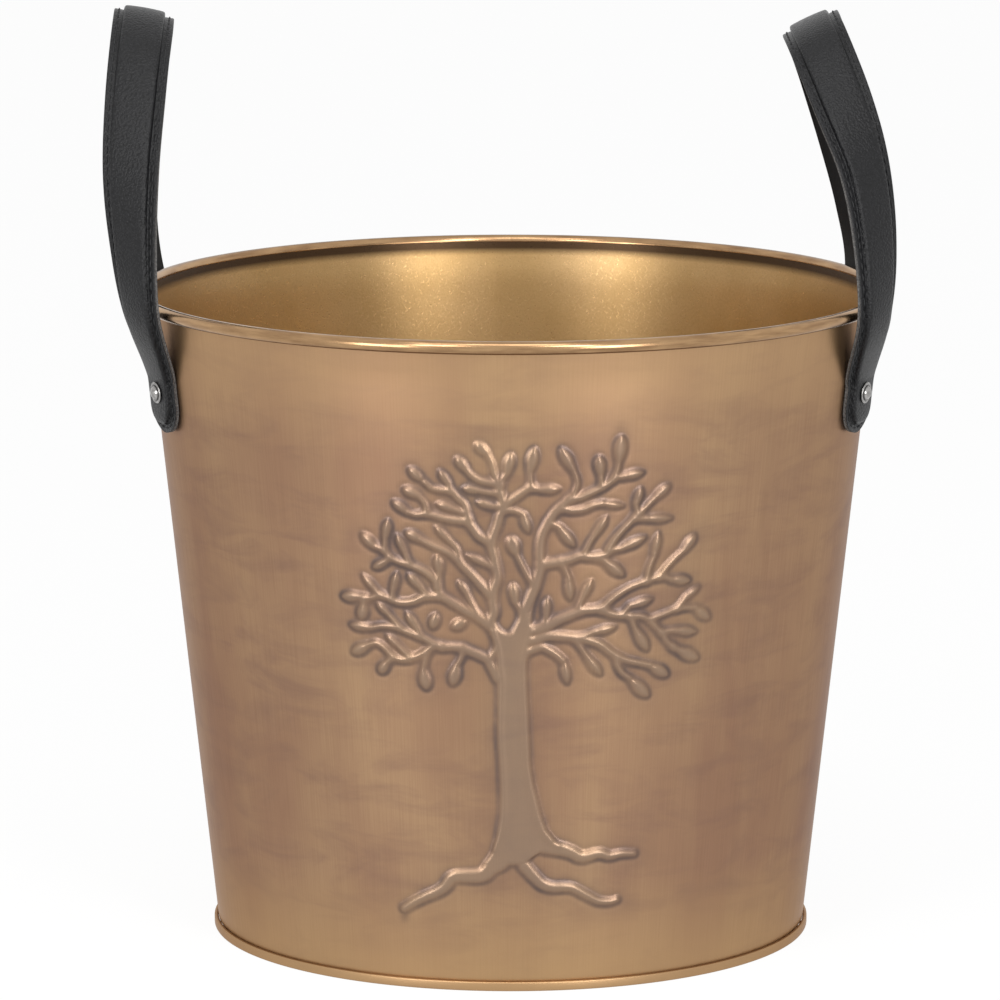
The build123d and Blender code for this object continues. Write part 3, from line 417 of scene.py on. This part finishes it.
def leather_material(name, colour, light, scale, depth, rough):
    """Faux leather with a pebbled grain."""
    n = Nodes(name)
    place = n.position()
    cells = n.add("ShaderNodeTexVoronoi", {"Vector": place, "Scale": scale}, feature="SMOOTH_F1")
    pebble = cells.outputs["Distance"]
    fine = n.noise(place, scale * 2.2, 3.0, 0.6)
    wear = n.noise(place, 0.05, 4.0, 0.6)
    mixed = n.mix(n.spread(pebble, 0.1, 0.75), light, colour)
    mixed = n.mix(n.spread(wear, 0.45, 0.75, 0.0, 0.25), mixed, light)
    n.put(mixed, n.shader.inputs["Base Color"])
    n.put(n.spread(fine, 0.3, 0.7, rough - 0.06, rough + 0.08), n.shader.inputs["Roughness"])
    height = n.math("ADD", n.math("MULTIPLY", pebble, -0.8), n.math("MULTIPLY", fine, 0.35))
    n.put(n.bump(height, depth, 1.0), n.shader.inputs["Normal"])
    n.set(Specular_IOR_Level=0.26)
    return n.material


def nickel_material():
    """Polished nickel, with painted shade in the head's groove and a painted contact shadow round its foot.
    """
    n = Nodes("nickel")
    noise = n.noise(n.position(), 0.6, 3.0, 0.6)
    colour = n.mix(n.spread(noise, 0.35, 0.65), srgb(172, 170, 168), srgb(132, 130, 128))
    # Painted shade in the head's groove and a painted contact shadow round its foot
    colour = n.mix(n.attribute("patina_and_shade"), colour, srgb(38, 36, 35))
    n.put(colour, n.shader.inputs["Base Color"])
    n.put(n.spread(noise, 0.3, 0.7, 0.12, 0.22), n.shader.inputs["Roughness"])
    n.set(Metallic=1.0)
    return n.material


def plain_material(name, colour, other, scale, rough, metallic=0.0, bump=0.0):
    """A small part's finish: two tones mottled by noise."""
    n = Nodes(name)
    noise = n.noise(n.position(), scale, 4.0, 0.6)
    n.put(n.mix(n.spread(noise, 0.35, 0.65), colour, other), n.shader.inputs["Base Color"])
    n.put(n.spread(noise, 0.3, 0.7, rough * 0.8, rough * 1.2), n.shader.inputs["Roughness"])
    if bump:
        n.put(n.bump(noise, bump, 0.6), n.shader.inputs["Normal"])
    n.set(Metallic=metallic)
    return n.material


BRASS = brass_material()
BEAD = bead_material()
INSIDE = inside_material()
COVER_LEATHER = leather_material("cover_leather", srgb(10, 10, 11), srgb(23, 23, 25), 1.05, 0.42, 0.36)
BACK_LEATHER = leather_material("back_leather", srgb(14, 14, 15), srgb(26, 26, 27), 2.4, 0.08, 0.72)
CUT_EDGE = plain_material("cut_edge", srgb(104, 102, 100), srgb(58, 57, 57), 1.3, 0.85, 0.0, 0.3)
THREAD = plain_material("thread", srgb(12, 12, 13), srgb(26, 26, 28), 3.0, 0.7, 0.0, 0.15)
NICKEL = nickel_material()
STEEL = plain_material("washer_steel", srgb(170, 170, 170), srgb(140, 138, 136), 0.8, 0.35, 1.0)
WIRE = plain_material("wire", srgb(150, 150, 152), srgb(120, 118, 116), 0.8, 0.4, 1.0)
FELT = plain_material("felt", srgb(150, 146, 140), srgb(120, 116, 110), 1.5, 0.9, 0.0, 0.2)


def add_mesh(name, points, faces, materials, slot, marks=None, ride=True):
    """A mesh from millimetre points; faces are corner lists, and marks are named values for each point."""
    mesh = bpy.data.meshes.new(name)
    mesh.from_pydata((np.asarray(points, float) * MM).tolist(), [], [list(map(int, f)) for f in faces])
    for material in materials:
        mesh.materials.append(material)
    mesh.polygons.foreach_set("use_smooth", [True] * len(mesh.polygons))
    for mark, values in (marks or {}).items():
        attribute = mesh.attributes.new(mark, "FLOAT", "POINT")
        attribute.data.foreach_set("value", np.asarray(values, np.float32))
    mesh.validate()
    piece = bpy.data.objects.new(name, mesh)
    bpy.context.collection.objects.link(piece)
    if ride:
        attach(piece, "bucket")
    return piece


def grid_faces(rows, columns, flip=False):
    """Quads of a tube whose rings of points are stored one after another."""
    r = np.arange(rows - 1)[:, None]
    c = np.arange(columns)[None, :]
    a = r * columns + c
    b = r * columns + (c + 1) % columns
    quads = np.stack([a, b, b + columns, a + columns], -1).reshape(-1, 4)
    return quads[:, ::-1] if flip else quads


# The tree's height above the wall, from the distance to its limbs and leaves

def smooth_chain(points, count=5):
    """Points along a smooth curve through the given ones."""
    p = np.array([points[0]] + list(points) + [points[-1]], float)
    p[0] = 2 * p[1] - p[2]
    p[-1] = 2 * p[-2] - p[-3]
    out = []
    for i in range(1, len(p) - 2):
        for t in np.arange(count) / count:
            out.append(0.5 * (2 * p[i] + (p[i + 1] - p[i - 1]) * t
                              + (2 * p[i - 1] - 5 * p[i] + 4 * p[i + 1] - p[i + 2]) * t ** 2
                              + (3 * p[i] - p[i - 1] - 3 * p[i + 1] + p[i + 2]) * t ** 3))
    out.append(p[-2])
    return np.array(out)


def chain_distance(x, z, points, halves):
    """Distance from each place to a chain's edge: below zero inside it."""
    best = np.full(x.shape, 1e3)
    for (ax, az), (bx, bz), ha, hb in zip(points, points[1:], halves, halves[1:]):
        dx, dz = bx - ax, bz - az
        t = np.clip(((x - ax) * dx + (z - az) * dz) / (dx * dx + dz * dz + 1e-12), 0, 1)
        best = np.minimum(best, np.hypot(x - ax - t * dx, z - az - t * dz) - (ha + (hb - ha) * t))
    return best


def tree_chains():
    """Every limb, root, twig and leaf as points and half widths."""
    for start_width, end_width, points in LIMBS:
        chain = smooth_chain(points)
        yield chain, np.linspace(start_width / 2, end_width / 2, len(chain))
    for width, tip, stalk, *twig in LEAVES:
        stalk, tip = np.array(stalk, float), np.array(tip, float)
        shares = np.linspace(0.02, 0.97, 28)
        halves = width / 2 * np.sin(math.pi * shares ** 1.05) ** 0.7
        reach = 1 - 0.3 * halves[-1] / math.dist(stalk, tip)
        yield stalk + (tip - stalk) * shares[:, None] * reach, np.maximum(halves, 0.55)
        if twig:
            chain = smooth_chain([stalk + (tip - stalk) * 0.12, stalk, *twig])
            yield chain, np.linspace(1.25, 1.5, len(chain))


def tree_distance(x, z):
    """Distance to the tree's outline, rounded where its parts meet."""
    left = np.interp(z, [p[1] for p in TRUNK_LEFT[::-1]], [p[0] for p in TRUNK_LEFT[::-1]])
    right = np.interp(z, [p[1] for p in TRUNK_RIGHT], [p[0] for p in TRUNK_RIGHT])
    # The trunk's top is hollowed between its two stems
    crotch = 163.5 + 0.12 * (x + 1.0) ** 2
    total = np.maximum.reduce([left - x, x - right, z - crotch, 57.5 - z])
    reach, blend = 7.0, 1.8
    for chain, halves in tree_chains():
        low, high = chain.min(0) - reach - halves.max(), chain.max(0) + reach + halves.max()
        near = (x > low[0]) & (x < high[0]) & (z > low[1]) & (z < high[1])
        d = chain_distance(x[near], z[near], chain, halves)
        old = total[near]
        h = np.clip(0.5 + 0.5 * (old - d) / blend, 0, 1)
        total[near] = old + (d - old) * h - blend * h * (1 - h)
    return total


def band_height(x, z):
    """The low bands that run down the trunk's two sides."""
    total = np.zeros(x.shape)
    for width, points in RIDGES:
        chain = smooth_chain(points)
        d = chain_distance(x, z, chain, np.zeros(len(chain)))
        total = np.maximum(total, RIDGE_LIFT * np.exp(-(d / (0.5 * width)) ** 2))
    return total


def relief_height(distance):
    """A soft ridge that rises over 3.2 mm, with a faint sunken line along its foot."""
    rise = np.clip((1.1 - distance) / 3.2, 0, 1)
    ridge = RELIEF * rise ** 2 * (3 - 2 * rise)
    return ridge - 0.08 * np.exp(-((distance - 1.5) / 1.0) ** 2)


def wall_radius(z):
    """Outside of the wall, turning out to the bead at its top."""
    neck = FOOT_RADIUS + FLARE * NECK_HEIGHT
    top = BEAD_CENTRE - BEAD_RADIUS + SHEET
    return np.where(z < NECK_HEIGHT, FOOT_RADIUS + FLARE * z,
                    neck + (top - neck) * (z - NECK_HEIGHT) / (BEAD_HEIGHT - NECK_HEIGHT))


def spaced(breaks, steps):
    """Values between the breaks, about a step apart in each stretch."""
    out = []
    for a, b, step in zip(breaks, breaks[1:], steps):
        out += list(np.linspace(a, b, max(1, round((b - a) / step)), endpoint=False))
    return np.array(out + [breaks[-1]])


def wall_grid(fine, inward):
    """A grid of the wall with the tree pressed into it and the sheet's lap at the back, and its patina with
    painted shade.
    """
    lap = [LAP_ANGLE - 0.4, LAP_ANGLE - 0.1, LAP_ANGLE + 0.1, LAP_ANGLE + 0.4]
    degrees = spaced([-180] + [a - 180 for a in lap] + [-31, 37] + [180 - a for a in lap[::-1]] + [180],
                     [1.0, 0.3, 0.2, 0.3, 4.0, fine * 0.385, 4.0, 0.3, 0.2, 0.3, 1.0])[:-1]
    heights = spaced([4.0, 33, 74, 128, 252, NECK_HEIGHT, BEAD_HEIGHT],
                     [5.0, fine, 4 * fine, fine, 6.0, 3.0])
    turn, z = np.meshgrid(np.radians(degrees), heights)
    radius = wall_radius(z) - (SHEET if inward else 0)
    x = radius * np.sin(turn)
    front = np.cos(turn) > 0.3
    distance = np.full(x.shape, 50.0)
    distance[front] = tree_distance(x[front], z[front])
    lift = relief_height(distance + (SHEET if inward else 0))
    lift[front] += band_height(x[front], z[front]) * (distance[front] < 0)
    radius = radius + np.where(distance < 10, lift, 0)
    if not inward:
        lapped = (np.abs(turn) > math.radians(180 - LAP_ANGLE)) & (z < NECK_HEIGHT + 0.1)
        radius = radius + SHEET * lapped
    points = np.stack([radius * np.sin(turn), -radius * np.cos(turn), z], -1).reshape(-1, 3)
    faces = grid_faces(len(heights), len(degrees), flip=inward)
    # Patina with painted shade: a dark line at the tree's foot and a broad darkening round the tree
    patina_and_shade = 0.85 * np.exp(-((distance - 0.5) / 1.0) ** 2) + 0.34 * np.exp(-np.clip(distance, 0, None) / 5.0)
    crest = np.clip(-distance / 1.6, 0, 1)
    # Painted shade: a dark line along the edge of the sheet's lap at the back
    past_lap = 180 - LAP_ANGLE - np.abs(np.degrees(turn))
    patina_and_shade += 0.7 * np.exp(-((past_lap - 0.1) / 0.25) ** 2) * (z < NECK_HEIGHT)
    return points, faces, np.clip(patina_and_shade, 0, 1).ravel(), crest.ravel()


points, faces, patina_and_shade, crest = wall_grid(0.6, False)
wall = add_mesh("wall_outside", points, faces, [BRASS], "antique_brass", {"patina_and_shade": patina_and_shade, "crest": crest})
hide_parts("bucket_wall")
points, faces = wall_grid(1.3, True)[:2]
lining = add_mesh("wall_inside", points, faces, [INSIDE], "antique_brass")
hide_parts("bucket_wall")


def turned(name, profile, material, columns=240, marks=None):
    """A surface turned round the vessel's axis from (radius, height) points."""
    profile = np.asarray(profile, float)
    turn = np.linspace(0, 2 * math.pi, columns, endpoint=False)[None, :]
    r, z = profile[:, :1], profile[:, 1:]
    points = np.stack([r * np.sin(turn), -r * np.cos(turn), z + 0 * turn], -1).reshape(-1, 3)
    faces = grid_faces(len(profile), columns)
    return add_mesh(name, points, faces, [material], "antique_brass", marks)


def arc(centre, radius, start, stop, count):
    """Points on an arc between two angles in degrees."""
    turn = np.radians(np.linspace(start, stop, count))
    return [(centre[0] + radius * math.cos(t), centre[1] + radius * math.sin(t)) for t in turn]


# The bead is turned from an arc that starts under it and ends inside. Shade is painted under it and along
# its top
bead_arc = (-125, 196, 30)
bead_line = arc((BEAD_CENTRE, BEAD_HEIGHT), BEAD_RADIUS + 0.02, *bead_arc)
around_bead = np.linspace(*bead_arc)
bead_shade = np.exp(-((around_bead + 80) / 26) ** 2) + 0.55 * np.exp(-((around_bead - 100) / 14) ** 2)
bead = turned("rim_bead", bead_line, BEAD, 360, {"patina_and_shade": np.repeat(bead_shade, 360)})
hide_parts("bucket_wall")

foot_line = [(132.2, 0.3), (132.7, 0.0)]
foot_line += arc((HOOK_CENTRE, 0.7), 0.7, -90, 0, 5)
foot_line += arc((HOOK_CENTRE, 3.5), 0.7, 0, 90, 5)
foot_line += [(133.8, 4.25), (133.62, 4.0), (133.45, 3.4)]
foot = turned("foot_ring", foot_line, BRASS)
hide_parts("bucket_floor")
pan_line = [(133.4, FLOOR_TOP + 0.9), (132.7, FLOOR_TOP + 0.25)]
pan_line += [(radius, FLOOR_TOP) for radius in (131.8, 90, 40, 0.01)]
pan = turned("floor_inside", pan_line, INSIDE)
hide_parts("bucket_floor")
under_line = [(radius, FLOOR_TOP - SHEET) for radius in (0.01, 60, 125, 131.0)]
under_line += [(131.9, 8.2), (131.3, 0.4), (131.6, 0.0), (132.7, 0.0)]
under = turned("floor_underside", under_line, BRASS)
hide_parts("bucket_floor")


# The straps

class Strap:
    """The strap's route at +X, measured from where its front tab leaves the wall."""

    def __init__(self, front, rear, top):
        down = [(x, -y, z, 180 - azimuth, tilt) for x, y, z, azimuth, tilt in reversed(self.leg(*rear))]
        rows = self.leg(*front) + [self.route_row(*top)] + down
        self.rows = np.array(rows, float)
        gaps = np.linalg.norm(np.diff(self.rows[:, :3], axis=0), axis=1)
        self.knots = np.concatenate([[0], np.cumsum(gaps)])
        self.length = self.knots[-1]
        low, high = np.array(self.tab_point(RIVET_HEIGHT - TAB_REACH)), self.rows[0, :3]
        self.tab = math.dist(low, high)
        up = (high - low) / self.tab
        steps = np.diff(self.rows, axis=0) / gaps[:, None]
        inner = (steps[:-1] * gaps[1:, None] + steps[1:] * gaps[:-1, None]) / (gaps[:-1] + gaps[1:])[:, None]
        first = np.array([*up, 0, 0])
        last = np.array([-up[0], up[1], -up[2], 0, 0])
        self.slopes = np.vstack([first, inner, last])
        # Above the tabs the strap leaves the wall more sharply than the tabs' own slope
        self.leaving = self.slopes.copy()
        self.leaving[0, :3] = 0.35 * up + 0.65 * steps[0, :3]
        self.leaving[-1, :3] = 0.35 * last[:3] + 0.65 * steps[-1, :3]

    @staticmethod
    def route_row(rise, inset, half, azimuth, tilt):
        """A measured row as x, y, z, azimuth and tilt."""
        return (RIM_RADIUS - inset, -half, RIM_HEIGHT + rise, azimuth, tilt)

    def leg(self, bead, route):
        """One leg's rows: the top of its tab, where it passes the bead, then the measured ones."""
        spread, twist = bead
        side = STRAP_HALF * math.sin(math.radians(twist))
        corner = spread + STRAP_HALF * math.cos(math.radians(twist))
        out = math.sqrt((RIM_RADIUS + BEAD_GAP) ** 2 - corner ** 2) + side
        rows = [
            (*self.tab_point(RIVET_HEIGHT + TAB_RISE), TAB_AZIMUTH, 0),
            (out, -spread, BEAD_HEIGHT, twist, 0),
        ]
        return rows + [self.route_row(*row) for row in route]

    @staticmethod
    def tab_point(height):
        """The middle of the right front tab's inner face at a height."""
        radius = FOOT_RADIUS + FLARE * height + STRAP_GAP
        turn = math.radians(RIVET_ANGLE)
        return (radius * math.cos(turn), -radius * math.sin(turn), height)

    def route_at(self, s):
        """Position, azimuth and tilt at a distance along the route."""
        if s <= 0:
            return self.rows[0] + self.slopes[0] * s
        if s >= self.length:
            return self.rows[-1] + self.slopes[-1] * (s - self.length)
        i = int(np.searchsorted(self.knots, s, side="right")) - 1
        span = self.knots[i + 1] - self.knots[i]
        t = (s - self.knots[i]) / span
        a, b, u, v = self.rows[i], self.rows[i + 1], self.leaving[i], self.leaving[i + 1]
        return (a + (3 * t ** 2 - 2 * t ** 3) * (b - a) + (t ** 3 - 2 * t ** 2 + t) * span * u
                + (t ** 3 - t ** 2) * span * v)

    def frame(self, s):
        """Position, direction across and direction outward at a distance along the route."""
        place = self.route_at(s)
        ahead = self.route_at(s + 4)[:3] - self.route_at(s - 4)[:3]
        ahead /= np.linalg.norm(ahead)
        turn, lean = math.radians(place[3]), math.radians(place[4])
        across = np.array([math.sin(turn) * math.cos(lean), math.cos(turn) * math.cos(lean), math.sin(lean)])
        across -= ahead * across.dot(ahead)
        across /= np.linalg.norm(across)
        return place[:3], across, np.cross(across, ahead)

    def point(self, s, across, out):
        """A place on the strap, from the middle of its inner face."""
        place, side, outward = self.frame(s)
        return place + side * across + outward * out

    def stations(self, step):
        """Distances along the strap, closer together towards the round ends."""
        start, stop = -self.tab, self.length + self.tab
        ends = [STRAP_HALF * (1 - math.cos(a)) for a in np.linspace(0.03, math.pi / 2, 14)]
        count = round((stop - start - 2 * STRAP_HALF) / step)
        middle = np.linspace(start + STRAP_HALF, stop - STRAP_HALF, count)
        return np.concatenate([[start + e for e in ends[:-1]], middle, [stop - e for e in ends[-2::-1]]])

    def half_at(self, s, half):
        """Half the width of a layer whose ends are rounded about the same centres as the strap's."""
        centre = STRAP_HALF - self.tab
        past = max(centre - s, s - (self.length - centre), 0)
        return math.sqrt(max(half ** 2 - past ** 2, 0))


def cover_section(half, hump, squeeze):
    """The cover's outline over one half: flange, crease, then the crowned centre. Rows of across and out."""
    rise = COVER_TOP - COVER_FLANGE
    full = min(hump / HUMP_HALF, 1.0)
    height = rise * (1 - (1 - full) ** 2.5) * squeeze
    crown = 0.45 * full * squeeze
    crease = 0.12 * min(hump / 4, 1.0)
    hump = max(hump, 0.3 * half)
    margin, seam = half - hump, (half + hump) / 2
    rows = [
        (half, BACKING + 0.05), (half, BACKING + 0.5), (half - 0.03 * margin, COVER_FLANGE - 0.12),
        (half - 0.12 * margin, COVER_FLANGE + 0.02), (seam + 0.22 * margin, COVER_FLANGE + 0.05),
        (seam, COVER_FLANGE + 0.02 - crease), (hump + 0.18 * margin, COVER_FLANGE + 0.02),
        (hump + 0.03 * margin, COVER_FLANGE - crease),
    ]
    for share, up in ((1.0, 0.10), (0.99, 0.45), (0.97, 0.74), (0.935, 0.91), (0.88, 0.98), (0.75, 1.0),
                      (0.4, 1.0), (0.0, 1.0)):
        bulge = crown * (1 - share ** 2) * up
        rows.append((hump * share, COVER_FLANGE - crease + (height + crease - crown) * up + bulge))
    return rows


def strap_grid(strap, step, section):
    """Points of a layer, one row of section points for each station."""
    rows = []
    for s in strap.stations(step):
        half = strap.half_at(s, STRAP_HALF)
        hump = strap.half_at(s, HUMP_HALF)
        rows.append([strap.point(s, across, out) for across, out in section(s, half, hump)])
    return np.array(rows)


def closed_grid(rows):
    """Faces of a tube of rows, with its two ends closed."""
    count, width = rows.shape[:2]
    faces = [tuple(f) for f in grid_faces(count, width)]
    faces.append(tuple(range(width))[::-1])
    faces.append(tuple(range((count - 1) * width, count * width)))
    return rows.reshape(-1, 3), faces


def make_straps(side, front, rear, top):
    """One handle's cover, backing, core and stitches, laid along the strap's route."""
    strap = Strap(front, rear, top)
    sign = 1 if side == "right" else -1

    def finish(name, points, faces, materials, slot):
        points = points * np.array([sign, 1, 1])
        if sign < 0:
            faces = [tuple(f)[::-1] for f in faces]
        return add_mesh(name, points, faces, materials, slot, ride=False)

    def cover_rows(s, half, hump):
        # The rivets press the cover down
        near = min(abs(s + TAB_RISE), abs(s - strap.length - TAB_RISE))
        squeeze = 1 - 0.16 * math.exp(-(near / 7.0) ** 2)
        right = cover_section(half, hump, squeeze)
        left = [(-across, out) for across, out in right[-2::-1]]
        under = [(-half * f, BACKING + 0.05) for f in (0.6, 0.2, -0.2, -0.6)]
        return right + left + under

    def backing_rows(s, half, hump):
        edge = max(half - 0.05, 0.01)
        middle = [(edge * 0.5, BACKING + 0.02), (-edge * 0.5, BACKING + 0.02)]
        top = [(edge, BACKING), *middle, (-edge, BACKING)]
        low = [(-edge, 0.12), (-edge + 0.1, 0.0), (0, 0.0), (edge - 0.1, 0.0), (edge, 0.12)]
        return top + low

    def core_rows(s, half, hump):
        wide = max(hump - 1.0, 0.01)
        top = 1.2 + 2.1 * min(wide / 4, 1)
        return [(wide, 1.15), (wide * 0.85, top), (-wide * 0.85, top), (-wide, 1.15)]

    # Each layer's section, spacing, materials and slot, then the pairs of columns between which its cut
    # edges lie
    layers = (
        ("cover", cover_rows, 1.6, [COVER_LEATHER, CUT_EDGE], "cover_leather", ((0, 1), (29, 30))),
        ("backing", backing_rows, 2.5, [BACK_LEATHER, CUT_EDGE], "backing_leather", ((3, 4), (7, 8))),
        ("core", core_rows, 6.0, [FELT], "core_felt", ()),
    )
    for name, section, step, materials, slot, edges in layers:
        rows = strap_grid(strap, step, section)
        points, faces = closed_grid(rows)
        piece = finish(f"{side}_{name}", points, faces, materials, slot)
        for polygon in piece.data.polygons:
            columns = sorted(v % rows.shape[1] for v in polygon.vertices)
            if len(columns) == 4 and (columns[0], columns[-1]) in edges:
                polygon.material_index = 1
        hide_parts(f"{side}_{name}_loop", f"{side}_{name}_tabs")
        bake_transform(piece)

    stitches = make_stitches(strap, side, sign)
    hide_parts(f"{side}_stitching_loop", f"{side}_stitching_tabs")
    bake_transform(stitches)


def capsule(a, b, out, radius):
    """Points and faces of one stitch: a short round thread that dips at both ends."""
    along = b - a
    length = np.linalg.norm(along)
    along = along / length
    out = out - along * out.dot(along)
    out = out / np.linalg.norm(out)
    side = np.cross(along, out)
    points, sides, rings = [], 6, 7
    for i in range(rings):
        t = i / (rings - 1)
        fat = radius * math.sin(math.pi * (0.12 + 0.76 * t)) ** 0.5
        centre = a + along * length * t + out * (0.30 * math.sin(math.pi * t) - 0.12)
        for k in range(sides):
            turn = 2 * math.pi * k / sides
            points.append(centre + side * fat * math.cos(turn) + out * fat * 0.8 * math.sin(turn))
    faces = [tuple(f) for f in grid_faces(rings, sides, flip=True)]
    faces.append(tuple(range(sides)))
    faces.append(tuple(range((rings - 1) * sides, rings * sides))[::-1])
    return points, faces


def make_stitches(strap, side, sign):
    """Rows of stitches along both margins and round both ends."""
    row = STRAP_HALF - STITCH_INSET
    centre = STRAP_HALF - strap.tab
    straight = strap.length - 2 * centre
    spots = []
    count = round(straight / STITCH_PITCH)
    for i in range(count):
        s = centre + straight * (i + 0.5) / count
        for across in (row, -row):
            spots.append(((s - STITCH_LENGTH / 2, across), (s + STITCH_LENGTH / 2, across)))
    turns = round(math.pi * row / STITCH_PITCH)
    for i in range(turns):
        turn = math.pi * (i + 0.5) / turns
        half = STITCH_LENGTH / 2 / row
        ends = [(row * math.sin(turn + d), row * math.cos(turn + d)) for d in (-half, half)]
        spots.append(tuple((centre - s, across) for s, across in ends))
        spots.append(tuple((strap.length - centre + s, across) for s, across in ends))
    points, faces = [], []
    for (s1, x1), (s2, x2) in spots:
        a, b = strap.point(s1, x1, COVER_FLANGE), strap.point(s2, x2, COVER_FLANGE)
        out = strap.frame((s1 + s2) / 2)[2]
        more_points, more_faces = capsule(a, b, out, STITCH_RADIUS)
        faces += [tuple(v + len(points) for v in f) for f in more_faces]
        points += more_points
    points = np.array(points) * np.array([sign, 1, 1])
    if sign < 0:
        faces = [f[::-1] for f in faces]
    return add_mesh(f"{side}_stitches", points, faces, [THREAD], "thread", ride=False)


make_straps("right", RIGHT_FRONT, RIGHT_REAR, RIGHT_TOP)
make_straps("left", LEFT_FRONT, LEFT_REAR, LEFT_TOP)


# Rivets: a stepped nickel head outside and a closed tail inside, between the wall and the burr

def rivet_places():
    """The four rivets' positions and outward directions, with the side that each is on."""
    top, low = np.array(Strap.tab_point(RIVET_HEIGHT + 1)), np.array(Strap.tab_point(RIVET_HEIGHT - 1))
    turn = math.radians(TAB_AZIMUTH)
    out = np.cross([math.sin(turn), math.cos(turn), 0], top - low)
    out /= np.linalg.norm(out)
    centre = np.array(Strap.tab_point(RIVET_HEIGHT))
    for side, x in (("right", 1), ("left", -1)):
        for end, y in (("front", 1), ("rear", -1)):
            flip = np.array([x, y, 1])
            yield side, end, centre * flip, out * flip


def make_rivet(name, centre, out, replaced):
    """One rivet: its dome, groove and ring, the shank, and the closed tail. Rows of radius and height."""
    head = [
        (0.01, 2.75), (0.8, 2.7), (1.6, 2.45), (2.3, 1.95), (2.75, 1.45), (3.0, 1.1), (3.15, 0.92),
        (3.4, 0.72), (3.75, 0.66), (4.0, 0.8), (4.25, 0.9), (4.55, 0.85), (4.8, 0.65), (4.9, 0.35),
        (4.85, 0.0), (2.0, -0.1),
    ]
    tail = [(2.0, 0.0), (2.85, 0.0), (2.85, -0.35), (2.5, -0.75), (1.8, -0.9), (0.01, -0.9)]
    profile = [(r, RIVET_SEAT + h) for r, h in head] + [(r, h - RIVET_TAIL) for r, h in tail]
    columns = 40
    turn = np.linspace(0, 2 * math.pi, columns, endpoint=False)[None, :]
    r, h = np.array(profile)[:, :1], np.array(profile)[:, 1:]
    local = np.stack([r * np.cos(turn), r * np.sin(turn), h + 0 * turn], -1).reshape(-1, 3)
    spin = np.array(Vector((0, 0, 1)).rotation_difference(Vector(out)).to_matrix())
    points = local @ spin.T + centre
    # Painted shade in the head's groove and a painted contact shadow round its foot
    shade = np.zeros(len(profile))
    shade[[5, 6, 7, 8, 13, 14]] = (0.3, 0.9, 1.0, 0.5, 0.8, 1.0)
    faces = grid_faces(len(profile), columns, flip=True)
    piece = add_mesh(name, points, faces, [NICKEL], "nickel", {"patina_and_shade": np.repeat(shade, columns)})
    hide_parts(replaced)


for side, end, centre, out in rivet_places():
    make_rivet(f"{side}_{end}_rivet", centre, out, f"{side}_rivets")

for node, material in (("rim_wire", WIRE), ("right_burrs", STEEL), ("left_burrs", STEEL)):
    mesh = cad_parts[node].data
    mesh.materials.clear()
    mesh.materials.append(material)


# Floor, light and background

def flat_square(name, size):
    """A level square about the origin, of a size in metres."""
    half = size / 2
    corners = [(-half, -half, 0), (half, -half, 0), (half, half, 0), (-half, half, 0)]
    mesh = bpy.data.meshes.new(name)
    mesh.from_pydata(corners, [], [(0, 1, 2, 3)])
    square = bpy.data.objects.new(name, mesh)
    bpy.context.collection.objects.link(square)
    return square


def seen_directly(tree):
    """1 for rays from the camera, mirrors and glass, and 0 for the light that falls on things."""
    rays = tree.nodes.new("ShaderNodeLightPath")
    total = rays.outputs["Is Camera Ray"]
    for name in ("Is Glossy Ray", "Is Transmission Ray"):
        node = tree.nodes.new("ShaderNodeMath")
        node.operation = "MAXIMUM"
        tree.links.new(total, node.inputs[0])
        tree.links.new(rays.outputs[name], node.inputs[1])
        total = node.outputs[0]
    return total


floor = flat_square("floor", 12)
n = Nodes("floor")
n.set(Base_Color=(0.9, 0.9, 0.9, 1), Roughness=0.9, Specular_IOR_Level=0.1)
glow = n.add("ShaderNodeEmission", {"Color": (1, 1, 1, 1), "Strength": 1.03})
share = n.math("MULTIPLY", seen_directly(n.tree), 0.9)
joined = n.add("ShaderNodeMixShader", {0: share, 1: n.shader.outputs[0], 2: glow.outputs[0]})
n.put(joined.outputs[0], n.tree.nodes["Material Output"].inputs["Surface"])
floor.data.materials.append(n.material)


def area_light(name, location, aim_height, width, height, power):
    """A rectangular lamp, in metres and watts, aimed at a point on the vessel's axis."""
    data = bpy.data.lights.new(name, "AREA")
    data.energy = power
    data.shape = "RECTANGLE"
    data.size = width
    data.size_y = height
    light = bpy.data.objects.new(name, data)
    bpy.context.collection.objects.link(light)
    light.location = location
    ray = Vector((0, 0, aim_height)) - Vector(location)
    light.rotation_euler = ray.to_track_quat("-Z", "Y").to_euler()


area_light("left_light", (-0.95, -1.25, 0.40), 0.15, 0.40, 0.8, 7)
area_light("right_light", (0.75, -1.35, 0.40), 0.15, 0.40, 0.8, 7)
area_light("left_high_light", (-0.50, -1.2, 1.1), 0.2, 0.25, 0.5, 4)
area_light("right_high_light", (0.40, -1.2, 1.1), 0.2, 0.25, 0.5, 4)
area_light("top_light", (-0.1, -0.7, 1.7), 0.15, 0.9, 0.6, 5)

world = bpy.data.worlds.new("studio")
bpy.context.scene.world = world
world.use_nodes = True
background = world.node_tree.nodes["Background"]
strength = world.node_tree.nodes.new("ShaderNodeMapRange")
world.node_tree.links.new(seen_directly(world.node_tree), strength.inputs["Value"])
strength.inputs["To Min"].default_value = 0.5
world.node_tree.links.new(strength.outputs[0], background.inputs["Strength"])
background.inputs["Color"].default_value = (1, 1, 1, 1)
